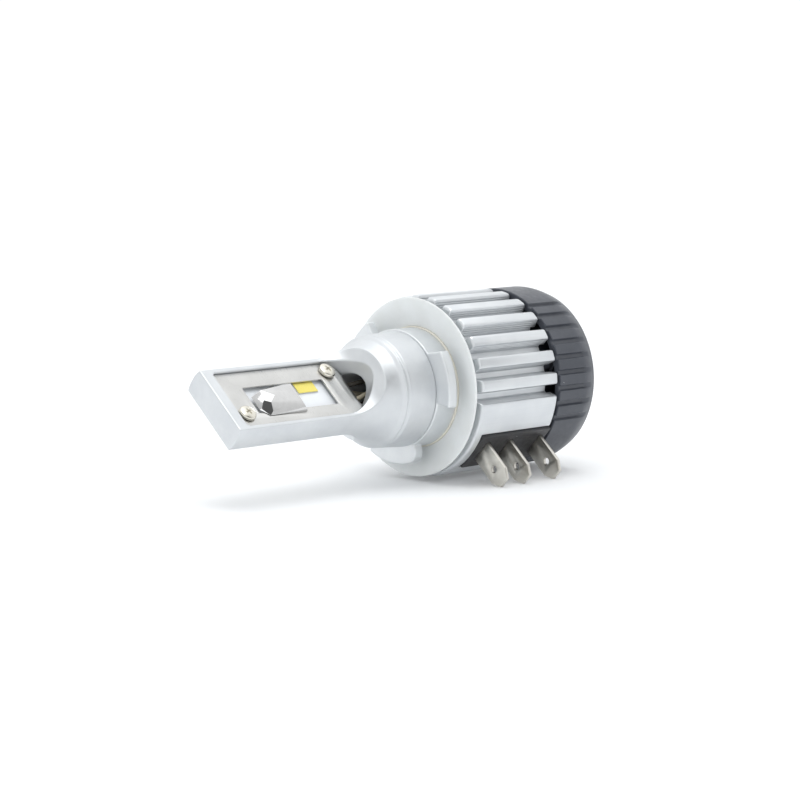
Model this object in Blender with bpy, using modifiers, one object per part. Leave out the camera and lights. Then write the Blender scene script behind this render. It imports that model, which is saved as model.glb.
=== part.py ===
"""LED headlight bulb with a three-blade plug, a finned heat sink and a cooling fan.

The bulb is modelled along its own axis. +Z runs to the lamp tip, -Y to the plug blades and +X
out of the front light window; z = 0 is the front face of the sealing ring. A parent empty then
lays the bulb on its side, with the tips of its plug blades lowest.
Angles round the axis are measured from the plug blades, towards the front light window.
"""
import math

import bmesh
import bpy
from mathutils import Matrix, Vector

MM = 0.001
FIT_GAP = 0.3 * MM          # between two pieces that touch or plug together
THIN_GAP = 0.12 * MM        # between the thin layers of the lamp
RUNNING_GAP = 0.06 * MM     # round the fan shaft

# Sealing ring and locking collar
SEAL_RADIUS = 18.6 * MM
SEAL_DEPTH = 1.6 * MM        # from the lip's front to the back at the hub
SEAL_SHEET = 0.4 * MM
SEAL_FLAT = 17.6 * MM        # the lip is flat from here out
SEAL_EDGE = 0.15 * MM
STUB_RADIUS = 9.5 * MM
COLLAR_RADIUS = 12.3 * MM
COLLAR_FRONT = 4.65 * MM
LUG_RADIUS = 15.7 * MM
LUG_THICKNESS = 2.35 * MM
LUG_ARCS = ((31.5, 75.0), (-79.0, -28.0), (164.0, 206.0))
LUG_ROOTS = ((31.5, 82.5), (-79.0, -23.0), (164.0, 206.0))

# Lamp body
NECK_RADIUS = 11.5 * MM
NECK_BASE_RADIUS = 12.0 * MM
NECK_RIM = 12.3 * MM
NECK_CHAMFER = 0.8 * MM
FLARE_END = 22.5 * MM
BLADE_TIP = 53.2 * MM
BLADE_ROUND = 8.45 * MM
BLADE_HALF_THICKNESS = 2.8 * MM
FLAT_END = 24.0 * MM        # where the flat faces start to climb to the shoulder
CLIMB_RADIUS = 8.4 * MM
WIRE_BORE = 4.2 * MM
WIRE_BORE_END = 19.5 * MM
WIRE_RADIUS = 0.45 * MM

# Pocket and the layers in it
POCKET_HALF_WIDTH = 7.0 * MM
POCKET_TIP = 50.6 * MM
POCKET_ROUND_CENTRE = 23.4 * MM
POCKET_CORNER = 0.8 * MM
WEB_HALF = 0.7 * MM
BOARD_LAYER = (0.82 * MM, 1.3 * MM)
CHIP_LAYER = (1.42 * MM, 1.7 * MM)
PLATE_LAYER = (1.87 * MM, 2.27 * MM)
PLATE_BEND = 19.7 * MM
PLATE_BEND_RADIUS = 2.1 * MM
BOARD_END = 21.5 * MM
BOARD_EDGE_GAP = 0.6 * MM
WINDOW_Z = (24.4 * MM, 45.4 * MM)
WINDOW_Y = (-3.8 * MM, 2.9 * MM)
DAY_CHIP = ((26.7 * MM, 31.9 * MM), (0.4 * MM, 3.1 * MM))
MAIN_CHIP = ((35.3 * MM, 40.1 * MM), (-2.4 * MM, 0.5 * MM))
HOOD_SHEET = 0.3 * MM
HOOD_CENTRE = -1.0 * MM
HOOD_HALF_WIDTH = 3.7 * MM
HOOD_HEIGHT = 1.8 * MM
HOOD_RIBS = ((33.2 * MM, 1.0, 0.9), (36.0 * MM, 1.0, 1.0), (41.2 * MM, 1.0, 1.0),
             (43.4 * MM, 0.9, 0.65), (45.0 * MM, 0.62, 0.15))

# Cover screws: place along the axis and across the blade
COVER_SCREWS = ((22.1 * MM, 4.6 * MM), (48.6 * MM, -3.9 * MM))
SCREW_HEAD_RADIUS = 1.8 * MM
SCREW_HEAD_HEIGHT = 1.0 * MM
SCREW_SHANK_RADIUS = 0.8 * MM
SCREW_HOLE_RADIUS = 1.1 * MM

# Heat sink
FIN_RADIUS = 18.95 * MM
GROOVE_RADIUS = 16.2 * MM
SINK_FRONT = -(SEAL_DEPTH + FIT_GAP)
SINK_REAR = -24.3 * MM
CORE_REAR = -23.1 * MM
SINK_WALL_REAR = -3.5 * MM
CAVITY_RADIUS = 12.6 * MM
PLUG_HALF_ANGLE = 14.35
LAND_END_ANGLE = 35.75
FIN_COUNT = 19

# Plug
PLUG_FRONT = -3.87 * MM
PLUG_REAR = -24.1 * MM
PLUG_INNER = 8.6 * MM
PLUG_FACE = 18.85 * MM
BLADE_PLACES = (-6.8 * MM, -13.5 * MM, -22.6 * MM)
PLUG_BLADE_TIP = 27.5 * MM       # from the axis
PLUG_BLADE_HALF_WIDTH = 2.56 * MM
PLUG_BLADE_THICKNESS = 0.8 * MM
PLUG_BLADE_CHAMFER = 1.25 * MM
PLUG_BLADE_HOLE = 0.75 * MM
PLUG_BLADE_HOLE_FROM_TIP = 3.8 * MM

# Driver
BOARD_Y = -6.6 * MM
BOARD_THICKNESS = 1.2 * MM
BOARD_HALF_WIDTH = 9.2 * MM
BOARD_Z = (-21.4 * MM, -5.6 * MM)

# Rear cap
CAP_RADIUS = 19.0 * MM
CAP_FRONT = -24.95 * MM
CAP_BEVEL = -32.85 * MM
CAP_REAR = -36.95 * MM
CAP_REAR_RADIUS = 18.1 * MM
CAP_WALL = 1.6 * MM
CAP_GROOVE_DEPTH = 0.55 * MM
CAP_GROOVE_ANGLE = 4.0
CAP_LAND_ANGLE = 6.0
CAP_GROOVES_PER_THIRD = 9
GRILLE_RADIUS = 12.0 * MM
GRILLE_HUB_RADIUS = 4.2 * MM
GRILLE_RING = (7.7 * MM, 8.6 * MM)
GRILLE_SPOKES = 6
GRILLE_SPOKE_HALF = 0.6 * MM
CAP_SCREW_ANGLES = (60, 180, 300)
CAP_SCREW_PLACE = 14.5 * MM
CAP_BOSS_RADIUS = 1.7 * MM
CAP_BOSS_BORE = 1.15 * MM

# Fan
FAN_RADIUS = 12.5 * MM
FAN_DUCT = 11.9 * MM
FAN_FRONT = -25.65 * MM
FAN_PLATE = 1.2 * MM
FAN_REAR = -34.25 * MM
FAN_BASE_RADIUS = 5.6 * MM
BUSH_RADIUS = 1.7 * MM
SHAFT_RADIUS = 0.7 * MM
ROTOR_RADIUS = 6.0 * MM
ROTOR_FRONT = -28.05 * MM
ROTOR_REAR = -33.55 * MM
IMPELLER_RADIUS = 11.4 * MM
IMPELLER_BLADES = 9

# Resting attitude: the lamp head's blade edge leans this far from straight down, and the
# heat sink with all that is fixed to it sits a little further round on the stub
LEAN = math.radians(49)
SINK_TURN = Matrix.Rotation(math.radians(-1.4), 4, "Z")
ROUND_STEPS = 48
SMALL_STEPS = 16

# Planes that outlines are drawn in: along Y and Z facing X, and along Z and X facing Y
FACING_X = Matrix(((0, 0, 1, 0), (1, 0, 0, 0), (0, 1, 0, 0), (0, 0, 0, 1)))
FACING_Y = Matrix(((0, 1, 0, 0), (0, 0, 1, 0), (1, 0, 0, 0), (0, 0, 0, 1)))
FACING_Z = Matrix.Identity(4)
HALF_TURN = Matrix.Rotation(math.pi, 4, "Z")


def clear_scene():
    for old in list(bpy.data.objects):
        bpy.data.objects.remove(old, do_unlink=True)


def new_collection(name):
    collection = bpy.data.collections.new(name)
    bpy.context.scene.collection.children.link(collection)
    return collection


clear_scene()
PARTS = new_collection("headlight_bulb")
CUTTERS = new_collection("cutters")


# ---------------------------------------------------------------- materials
def material(name, colour, roughness, metallic=0.0):
    made = bpy.data.materials.new(name)
    made.use_nodes = True
    shader = made.node_tree.nodes["Principled BSDF"]
    shader.inputs["Base Color"].default_value = (*colour, 1.0)
    shader.inputs["Roughness"].default_value = roughness
    shader.inputs["Metallic"].default_value = metallic
    return made


CAST_ALUMINIUM = material("cast_aluminium", (0.72, 0.74, 0.76), 0.42, 0.85)
BRUSHED_STEEL = material("brushed_steel", (0.62, 0.6, 0.58), 0.3, 1.0)
BRIGHT_METAL = material("bright_metal", (0.7, 0.7, 0.71), 0.15, 1.0)
WHITE_BOARD = material("white_board", (0.88, 0.9, 0.93), 0.45)
YELLOW_PHOSPHOR = material("yellow_phosphor", (0.9, 0.78, 0.12), 0.6)
SCREW_NICKEL = material("screw_nickel", (0.68, 0.65, 0.57), 0.28, 1.0)
MILKY_SILICONE = material("milky_silicone", (0.86, 0.87, 0.83), 0.5)
BLACK_PLASTIC = material("black_plastic", (0.05, 0.05, 0.055), 0.4)
PLUG_PLASTIC = material("plug_plastic", (0.04, 0.04, 0.045), 0.5)
BLADE_NICKEL = material("blade_nickel", (0.6, 0.58, 0.54), 0.3, 1.0)
GREEN_BOARD = material("green_board", (0.03, 0.2, 0.08), 0.4)
FERRITE = material("ferrite", (0.06, 0.06, 0.06), 0.6)
COPPER = material("copper", (0.72, 0.35, 0.16), 0.35, 1.0)
BRASS = material("brass", (0.75, 0.58, 0.25), 0.35, 1.0)
WIRE_SKIN = material("wire_skin", (0.45, 0.27, 0.14), 0.5)


# ---------------------------------------------------------------- shape tools
def add_object(name, mesh, look=None):
    """A part where a material is given, otherwise a cutter."""
    made = bpy.data.objects.new(name, mesh)
    if look is None:
        CUTTERS.objects.link(made)
        made.hide_render = True
        made.display_type = "WIRE"
    else:
        PARTS.objects.link(made)
        mesh.materials.clear()
        mesh.materials.append(look)
    return made


def settle(piece):
    """Turns the modified shape into the object's own mesh."""
    view = bpy.context.evaluated_depsgraph_get()
    view.update()
    shape = bpy.data.meshes.new_from_object(piece.evaluated_get(view), depsgraph=view)
    piece.modifiers.clear()
    piece.data = shape
    return piece


def turned(name, profile, look=None, closed=True, steps=ROUND_STEPS):
    """A profile of (radius, z) points turned round Z. An open one starts and ends on the axis."""
    count = len(profile)
    edges = [(i, i + 1) for i in range(count - 1)]
    if closed:
        edges.append((count - 1, 0))
    mesh = bpy.data.meshes.new(name)
    mesh.from_pydata([(radius, 0, z) for radius, z in profile], edges, [])
    made = add_object(name, mesh, look)
    screw = made.modifiers.new("turn", "SCREW")
    screw.axis = "Z"
    screw.steps = steps
    screw.render_steps = steps
    screw.use_merge_vertices = True
    screw.merge_threshold = 0.000005
    return settle(made)


def rod(name, radius, low, high, look=None, steps=SMALL_STEPS):
    return turned(name, [(0, high), (radius, high), (radius, low), (0, low)], look, False, steps)


def ring(name, inner, outer, low, high, look=None, steps=ROUND_STEPS):
    return turned(name, [(outer, high), (outer, low), (inner, low), (inner, high)], look, True, steps)


def slab(name, loops, low, high, plane=FACING_Z, look=None):
    """Flat outlines, the first with the others as holes, filled between two heights."""
    curve = bpy.data.curves.new(name, "CURVE")
    curve.dimensions = "2D"
    curve.fill_mode = "BOTH"
    curve.extrude = (high - low) / 2
    for loop in loops:
        spline = curve.splines.new("POLY")
        spline.points.add(len(loop) - 1)
        for point, (u, v) in zip(spline.points, loop):
            point.co = (u, v, 0, 1)
        spline.use_cyclic_u = True
    drawn = bpy.data.objects.new(name + "_outline", curve)
    CUTTERS.objects.link(drawn)
    view = bpy.context.evaluated_depsgraph_get()
    mesh = bpy.data.meshes.new_from_object(drawn.evaluated_get(view))
    bpy.data.objects.remove(drawn, do_unlink=True)
    weld(mesh)
    mesh.transform(plane @ Matrix.Translation((0, 0, (low + high) / 2)))
    return add_object(name, mesh, look)


def weld(mesh):
    work = bmesh.new()
    work.from_mesh(mesh)
    bmesh.ops.remove_doubles(work, verts=work.verts, dist=0.000002)
    bmesh.ops.recalc_face_normals(work, faces=work.faces)
    work.to_mesh(mesh)
    work.free()


def box(name, low, high, look=None):
    """A box between two corners."""
    work = bmesh.new()
    bmesh.ops.create_cube(work, size=1)
    size = Vector(high) - Vector(low)
    bmesh.ops.scale(work, vec=size, verts=work.verts)
    bmesh.ops.translate(work, vec=(Vector(low) + Vector(high)) / 2, verts=work.verts)
    mesh = bpy.data.meshes.new(name)
    work.to_mesh(mesh)
    work.free()
    return add_object(name, mesh, look)


def combine(target, others, operation="DIFFERENCE"):
    for other in others:
        step = target.modifiers.new(other.name, "BOOLEAN")
        step.operation = operation
        step.solver = "EXACT"
        step.object = other
    settle(target)
    for other in others:
        bpy.data.objects.remove(other, do_unlink=True)
    return target


def moved(piece, matrix):
    piece.data.transform(matrix)
    return piece


def arc(centre, radius, start, end, steps):
    """Points on an arc, with angles in degrees."""
    points = []
    for i in range(steps + 1):
        angle = math.radians(start + (end - start) * i / steps)
        points.append((centre[0] + radius * math.cos(angle), centre[1] + radius * math.sin(angle)))
    return points


def round_about(radius, angle):
    """A point at an angle in degrees from the plug blades, seen along the axis."""
    turn = math.radians(angle)
    return radius * math.sin(turn), -radius * math.cos(turn)


def circle(radius, centre=(0, 0), steps=SMALL_STEPS):
    return arc(centre, radius, 0, 360 * (steps - 1) / steps, steps - 1)


def slot_outline(half_width, tip, centre, corner, steps=12):
    """The pocket's outline across and along the blade: square tip end, round neck end."""
    inner = half_width - corner
    points = arc((inner, tip - corner), corner, 0, 90, 2)
    points += arc((-inner, tip - corner), corner, 90, 180, 2)
    points += arc((0, centre), half_width, 180, 360, steps)
    return points


# ---------------------------------------------------------------- lamp body
def lamp_profile():
    """Outer shape of the casting before the flats are cut: tip, flare, neck and press stub."""
    rim_radius = NECK_RADIUS - NECK_CHAMFER
    rim_top = NECK_RIM + NECK_CHAMFER
    profile = [(0, BLADE_TIP), (BLADE_ROUND, BLADE_TIP), (BLADE_ROUND, FLARE_END)]
    flare_steps = 7
    for i in range(1, flare_steps + 1):
        share = i / flare_steps
        height = FLARE_END + (rim_top - FLARE_END) * share
        profile.append((BLADE_ROUND + (rim_radius - BLADE_ROUND) * share ** 1.8, height))
    profile.append((NECK_RADIUS, NECK_RIM))
    profile.append((NECK_BASE_RADIUS, COLLAR_FRONT + THIN_GAP))
    profile.append((STUB_RADIUS, COLLAR_FRONT + THIN_GAP))
    profile.append((STUB_RADIUS, SINK_WALL_REAR))
    profile.append((0, SINK_WALL_REAR))
    return profile


def flats_outline():
    """Side view of the blade's two flat faces, climbing in an arc to the shoulder."""
    top = BLADE_HALF_THICKNESS
    margin = 2 * MM
    wide = NECK_RADIUS + margin
    climb = arc((FLAT_END, top + CLIMB_RADIUS), CLIMB_RADIUS, 270, 180, 7)
    side = [(BLADE_TIP + margin, top)] + climb + [(climb[-1][0], wide), (SINK_WALL_REAR - margin, wide)]
    return side + [(z, -x) for z, x in reversed(side)]


def make_lamp_body():
    body = turned("lamp_body", lamp_profile(), CAST_ALUMINIUM, closed=False)
    flats = slab("flats", [flats_outline()], -NECK_RADIUS * 2, NECK_RADIUS * 2, FACING_Y)
    combine(body, [flats], "INTERSECT")
    outline = slot_outline(POCKET_HALF_WIDTH, POCKET_TIP, POCKET_ROUND_CENTRE, POCKET_CORNER)
    pocket = slab("pocket", [outline], WEB_HALF, NECK_RADIUS * 1.5, FACING_X)
    pocket_back = slab("pocket_back", [outline], -NECK_RADIUS * 1.5, -WEB_HALF, FACING_X)
    bore = rod("wire_bore", WIRE_BORE, SINK_WALL_REAR - MM, WIRE_BORE_END, steps=32)
    holes = []
    for turn in (FACING_Z, HALF_TURN):
        for z, y in COVER_SCREWS:
            hole = rod("thread", SCREW_HOLE_RADIUS, -0.3 * MM, 2 * MM)
            holes.append(moved(hole, turn @ across(y, z)))
    combine(body, [pocket, pocket_back, bore] + holes)
    return body


def across(y, z):
    """Turns a piece made along Z so that it points out of the front window at a place."""
    return Matrix.Translation((0, y, z)) @ Matrix.Rotation(math.pi / 2, 4, "Y")


def make_lock_collar():
    """Hub, standing through the seal ring, with three lugs that turn into the lamp housing."""
    bore = STUB_RADIUS + FIT_GAP
    collar = ring("lock_collar", bore, COLLAR_RADIUS, -SEAL_DEPTH, COLLAR_FRONT, CAST_ALUMINIUM)
    lugs = []
    low = COLLAR_FRONT - LUG_THICKNESS
    for outer_arc, root_arc in zip(LUG_ARCS, LUG_ROOTS):
        outer = rim_points(LUG_RADIUS, *outer_arc)
        root = rim_points(COLLAR_RADIUS, *root_arc)
        inside = rim_points(COLLAR_RADIUS - MM, *root_arc)
        lugs.append(slab("lug", [outer + [root[-1]] + inside[::-1] + [root[0]]], low, COLLAR_FRONT))
    return combine(collar, lugs, "UNION")


def rim_points(radius, start, end, steps=8):
    return [round_about(radius, start + (end - start) * i / steps) for i in range(steps + 1)]


def make_seal_ring():
    """Soft lip washer: a thin cone that rises from the hub to a flat lip."""
    inner = COLLAR_RADIUS + FIT_GAP
    profile = [(SEAL_FLAT, 0), (SEAL_RADIUS - SEAL_EDGE, 0), (SEAL_RADIUS, -SEAL_EDGE),
               (SEAL_RADIUS, -SEAL_SHEET), (inner, -SEAL_DEPTH), (inner, SEAL_SHEET - SEAL_DEPTH)]
    return turned("seal_ring", profile, MILKY_SILICONE)


# ---------------------------------------------------------------- what is in the pockets
def plate_side_view():
    """Edge view of a cover plate: flat, then bent down over the wires at the neck end."""
    low, high = PLATE_LAYER
    sheet = high - low
    centre = (PLATE_BEND, high - PLATE_BEND_RADIUS)
    outer = arc(centre, PLATE_BEND_RADIUS, 90, 140, 4)
    inner = arc(centre, PLATE_BEND_RADIUS - sheet, 140, 90, 4)
    return [(POCKET_TIP, low), (POCKET_TIP, high)] + outer + inner


def make_cover_plate(side, turn):
    plate = slab("cover_plate_" + side, [plate_side_view()], -POCKET_HALF_WIDTH, POCKET_HALF_WIDTH,
                 FACING_Y, BRUSHED_STEEL)
    rim = slot_outline(POCKET_HALF_WIDTH - THIN_GAP, POCKET_TIP - THIN_GAP, POCKET_ROUND_CENTRE,
                       POCKET_CORNER)
    combine(plate, [slab("plate_rim", [rim], -MM, 4 * MM, FACING_X)], "INTERSECT")
    window = box("window", (0, WINDOW_Y[0], WINDOW_Z[0]), (4 * MM, WINDOW_Y[1], WINDOW_Z[1]))
    holes = [moved(rod("hole", SCREW_HOLE_RADIUS, 0, 4 * MM), across(y, z)) for z, y in COVER_SCREWS]
    combine(plate, [window] + holes)
    return moved(plate, turn)


def make_led_board(side, turn):
    half = POCKET_HALF_WIDTH - BOARD_EDGE_GAP
    low, high = BOARD_LAYER
    board = box("led_board_" + side, (low, -half, BOARD_END), (high, half, POCKET_TIP - FIT_GAP), WHITE_BOARD)
    holes = [moved(rod("hole", SCREW_HOLE_RADIUS, 0, 3 * MM), across(y, z)) for z, y in COVER_SCREWS]
    combine(board, holes)
    return moved(board, turn)


def make_chip(name, place, turn):
    (z_low, z_high), (y_low, y_high) = place
    chip = box(name, (CHIP_LAYER[0], y_low, z_low), (CHIP_LAYER[1], y_high, z_high), YELLOW_PHOSPHOR)
    return moved(chip, turn)


def make_glare_hood(side, turn):
    """Half-barrel hood: open to the neck, with flat facets closing it towards the tip."""
    base = PLATE_LAYER[1] + THIN_GAP
    arch_steps = 8
    work = bmesh.new()
    rows = []
    for z, width, height in HOOD_RIBS:
        row = []
        for i in range(arch_steps + 1):
            angle = math.pi * i / arch_steps
            y = HOOD_CENTRE + HOOD_HALF_WIDTH * width * math.cos(angle)
            x = base + HOOD_HEIGHT * height * math.sin(angle) ** 0.8
            row.append(work.verts.new((x, y, z)))
        rows.append(row)
    for near, far in zip(rows, rows[1:]):
        for i in range(arch_steps):
            work.faces.new((near[i], near[i + 1], far[i + 1], far[i]))
    bmesh.ops.recalc_face_normals(work, faces=work.faces)
    mesh = bpy.data.meshes.new("glare_hood_" + side)
    work.to_mesh(mesh)
    work.free()
    hood = add_object("glare_hood_" + side, mesh, BRIGHT_METAL)
    sheet = hood.modifiers.new("sheet", "SOLIDIFY")
    sheet.thickness = HOOD_SHEET
    sheet.offset = 1 if hood_faces_in(mesh) else -1
    settle(hood)
    weld(hood.data)
    ground = box("ground", (base - 3 * MM, -9 * MM, 30 * MM), (base, 9 * MM, 50 * MM))
    combine(hood, [ground])
    return moved(hood, turn)


def hood_faces_in(mesh):
    """Whether the open sheet's faces point to the inside of the arch."""
    crown = max(mesh.polygons, key=lambda face: face.center.x)
    return crown.normal.x < 0


def make_cover_screw(name, z, y, turn):
    """Pan head with a cross recess on a short shank."""
    head_low = PLATE_LAYER[1] + THIN_GAP
    head_high = head_low + SCREW_HEAD_HEIGHT
    rounding = SCREW_HEAD_RADIUS * 0.35
    profile = [(0, head_high), (SCREW_HEAD_RADIUS - rounding, head_high),
               (SCREW_HEAD_RADIUS, head_high - rounding), (SCREW_HEAD_RADIUS, head_low),
               (SCREW_SHANK_RADIUS, head_low), (SCREW_SHANK_RADIUS, 0), (0, 0)]
    screw = turned(name, profile, SCREW_NICKEL, closed=False, steps=SMALL_STEPS)
    arm, half = SCREW_HEAD_RADIUS * 0.55, SCREW_HEAD_RADIUS * 0.13
    low = head_high - 0.6 * MM
    cross = box("cross_a", (-arm, -half, low), (arm, half, head_high + MM))
    cross_b = box("cross_b", (-half, -arm, low), (half, arm, head_high + MM))
    combine(screw, [cross, cross_b])
    return moved(screw, turn @ across(y, z))


def smooth_route(points, steps):
    """A smooth curve through the points, as a list of places along it."""
    ends = [points[0] * 2 - points[1]] + points + [points[-1] * 2 - points[-2]]
    route = []
    for i in range(1, len(ends) - 2):
        for k in range(steps):
            t = k / steps
            a, b, c, d = ends[i - 1:i + 3]
            route.append(0.5 * ((2 * b) + (c - a) * t + (2 * a - 5 * b + 4 * c - d) * t * t
                                + (3 * b - a - 3 * c + d) * t ** 3))
    route.append(points[-1])
    return route


def make_wire(name, points, turn):
    curve = bpy.data.curves.new(name, "CURVE")
    curve.dimensions = "3D"
    curve.bevel_depth = WIRE_RADIUS
    curve.bevel_resolution = 2
    curve.use_fill_caps = True
    route = smooth_route([Vector(point) * MM for point in points], 3)
    spline = curve.splines.new("POLY")
    spline.points.add(len(route) - 1)
    for point, place in zip(spline.points, route):
        point.co = (*(turn @ place), 1)
    curve.materials.append(WIRE_SKIN)
    made = bpy.data.objects.new(name, curve)
    PARTS.objects.link(made)
    return made


def make_lamp_side(side, turn):
    make_cover_plate(side, turn)
    make_led_board(side, turn)
    make_chip("led_day_" + side, DAY_CHIP, turn)
    make_chip("led_main_" + side, MAIN_CHIP, turn)
    make_glare_hood(side, turn)
    for number, (z, y) in enumerate(COVER_SCREWS, 1):
        make_cover_screw(f"cover_screw_{side}_{number}", z, y, turn)
    for number, y in enumerate((1.4, -1.4), 1):
        points = ((1.6, y, -5.2), (2.2, y, 1.0), (2.4, y, 9.0), (1.7, y * 1.1, 14.2), (0.72, y * 1.3, 16.6),
                  (0.6, y * 1.4, 18.2), (1.2, y * 1.5, 19.6), (1.27, y * 1.6, 21.3))
        make_wire(f"wire_{side}_{number}", points, turn)


# ---------------------------------------------------------------- heat sink
def fin_outline():
    """Cross-section of the heat sink: smooth lands beside the plug, then fins all round."""
    pitch = (360 - 2 * LAND_END_ANGLE) / (2 * FIN_COUNT + 1)
    points = []
    land_steps = 12
    for i in range(land_steps + 1):
        angle = -LAND_END_ANGLE + 2 * LAND_END_ANGLE * i / land_steps
        points.append(round_about(FIN_RADIUS, angle))
    angle = LAND_END_ANGLE
    for fin in range(FIN_COUNT + 1):
        points.append(round_about(GROOVE_RADIUS, angle))
        points.append(round_about(GROOVE_RADIUS, angle + pitch))
        if fin < FIN_COUNT:
            for share in (1, 1.5, 2):
                points.append(round_about(FIN_RADIUS, angle + pitch * share))
        angle += 2 * pitch
    return points


def make_heatsink():
    sink = slab("heatsink", [fin_outline()], SINK_REAR, SINK_FRONT, look=CAST_ALUMINIUM)
    margin = MM
    far = FIN_RADIUS + 2 * MM
    cavity = rod("cavity", CAVITY_RADIUS, SINK_REAR - margin, SINK_WALL_REAR, steps=ROUND_STEPS)
    stub_hole = rod("stub_hole", STUB_RADIUS + FIT_GAP, SINK_WALL_REAR - margin, SINK_FRONT + margin,
                    steps=ROUND_STEPS)
    vents = rod("vents", GROOVE_RADIUS + 0.4 * MM, SINK_REAR - margin, CORE_REAR, steps=ROUND_STEPS)
    half = plug_half_width() + FIT_GAP
    slot = box("plug_slot", (-half, -far, SINK_REAR - margin),
               (half, -CAVITY_RADIUS * 0.7, PLUG_FRONT + FIT_GAP))
    threads = [at_cap_screw(rod("thread", 0.9 * MM, CORE_REAR - margin, CORE_REAR + 5 * MM), angle)
               for angle in CAP_SCREW_ANGLES]
    return combine(sink, [cavity, stub_hole, vents, slot] + threads)


def plug_half_width():
    return FIN_RADIUS * math.sin(math.radians(PLUG_HALF_ANGLE))


def at_cap_screw(piece, angle):
    """Moves a piece made on the axis out to a cap screw's place."""
    x, y = round_about(CAP_SCREW_PLACE, angle)
    return moved(piece, Matrix.Translation((x, y, 0)))


# ---------------------------------------------------------------- plug and driver
def make_connector_block():
    half = plug_half_width()
    low = (-half, -PLUG_FACE, PLUG_REAR)
    block = box("connector_block", low, (half, -PLUG_INNER, PLUG_FRONT), PLUG_PLASTIC)
    slots = []
    for z in BLADE_PLACES:
        reach = PLUG_BLADE_THICKNESS / 2 + THIN_GAP
        wide = PLUG_BLADE_HALF_WIDTH + THIN_GAP
        low = (-wide, -PLUG_FACE - MM, z - reach)
        slots.append(box("blade_slot", low, (wide, -PLUG_INNER + MM, z + reach)))
    return combine(block, slots)


def make_terminal(number, z):
    tip = -PLUG_BLADE_TIP
    root = BOARD_Y - BOARD_THICKNESS / 2 - THIN_GAP
    wide, cut = PLUG_BLADE_HALF_WIDTH, PLUG_BLADE_CHAMFER
    outline = [(-wide, root), (-wide, tip + cut * 1.6), (cut - wide, tip), (wide - cut, tip),
               (wide, tip + cut * 1.6), (wide, root)]
    hole = circle(PLUG_BLADE_HOLE, (0, tip + PLUG_BLADE_HOLE_FROM_TIP))
    half = PLUG_BLADE_THICKNESS / 2
    return slab(f"terminal_{number}", [outline, hole], z - half, z + half, look=BLADE_NICKEL)


def make_driver():
    half = BOARD_THICKNESS / 2
    box("driver_board", (-BOARD_HALF_WIDTH, BOARD_Y - half, BOARD_Z[0]),
        (BOARD_HALF_WIDTH, BOARD_Y + half, BOARD_Z[1]), GREEN_BOARD)
    top = BOARD_Y + half + THIN_GAP
    upright = Matrix.Rotation(-math.pi / 2, 4, "X")
    profile = [(0, 5.2 * MM), (3.2 * MM, 5.2 * MM), (3.4 * MM, 4.9 * MM), (3.4 * MM, 4.2 * MM),
               (2.7 * MM, 3.9 * MM), (2.7 * MM, 1.3 * MM), (3.4 * MM, MM), (3.4 * MM, 0), (0, 0)]
    coil = turned("driver_coil", profile, FERRITE, closed=False, steps=24)
    moved(coil, Matrix.Translation((-4.4 * MM, top, -16.4 * MM)) @ upright)
    capacitor = rod("driver_capacitor", 2.5 * MM, 0, 7.5 * MM, BRIGHT_METAL, steps=24)
    moved(capacitor, Matrix.Translation((4.6 * MM, top, -16.8 * MM)) @ upright)
    box("driver_chip", (-2.6 * MM, top, -11.0 * MM), (2.6 * MM, top + 1.4 * MM, -7.0 * MM), FERRITE)


# ---------------------------------------------------------------- rear cap
def cap_outline():
    """Cross-section of the cap: three smooth lands, and shallow grooves between them."""
    points = []
    pitch = CAP_GROOVE_ANGLE + CAP_LAND_ANGLE
    group = CAP_GROOVES_PER_THIRD * pitch - CAP_LAND_ANGLE
    half_land = (120 - group) / 2
    floor = CAP_RADIUS - CAP_GROOVE_DEPTH
    for third in range(3):
        centre = 120 * third
        land_steps = 6
        for i in range(land_steps + 1):
            points.append(round_about(CAP_RADIUS, centre - half_land + 2 * half_land * i / land_steps))
        angle = centre + half_land
        for groove in range(CAP_GROOVES_PER_THIRD):
            points.append(round_about(floor, angle + 0.6))
            points.append(round_about(floor, angle + CAP_GROOVE_ANGLE - 0.6))
            if groove < CAP_GROOVES_PER_THIRD - 1:
                for share in (0, 1):
                    points.append(round_about(CAP_RADIUS, angle + CAP_GROOVE_ANGLE + CAP_LAND_ANGLE * share))
            angle += pitch
    return points


def grille_cutters():
    """Openings of the rear grille: two rings of air slots between six spokes."""
    cutters = []
    low, high = CAP_REAR - MM, CAP_REAR + CAP_WALL + MM
    for inner, outer in ((GRILLE_HUB_RADIUS, GRILLE_RING[0]), (GRILLE_RING[1], GRILLE_RADIUS)):
        for i in range(GRILLE_SPOKES):
            centre = 360 * i / GRILLE_SPOKES + 30
            loop = []
            for radius, ends in ((outer, (-1, 1)), (inner, (1, -1))):
                reach = 180 / GRILLE_SPOKES - math.degrees(GRILLE_SPOKE_HALF / radius)
                for k in range(7):
                    share = ends[0] + (ends[1] - ends[0]) * k / 6
                    loop.append(round_about(radius, centre + reach * share))
            cutters.append(slab("air_slot", [loop], low, high))
    return cutters


def cap_sections():
    """Height and largest radius of each section of the cap's shell, from the front edge to the rear face."""
    corner = 0.9 * MM
    middle = (CAP_BEVEL + CAP_REAR + corner) / 2
    middle_radius = CAP_RADIUS - (CAP_RADIUS - CAP_REAR_RADIUS) * 0.35
    return ((CAP_FRONT, CAP_RADIUS), (CAP_BEVEL, CAP_RADIUS), (middle, middle_radius),
            (CAP_REAR + corner, CAP_REAR_RADIUS), (CAP_REAR, CAP_REAR_RADIUS - corner))


def limited(outline, limit):
    """The outline with every point brought inside the limiting radius."""
    kept = []
    for x, y in outline:
        shrink = min(1.0, limit / math.hypot(x, y))
        kept.append((x * shrink, y * shrink))
    return kept


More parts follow.
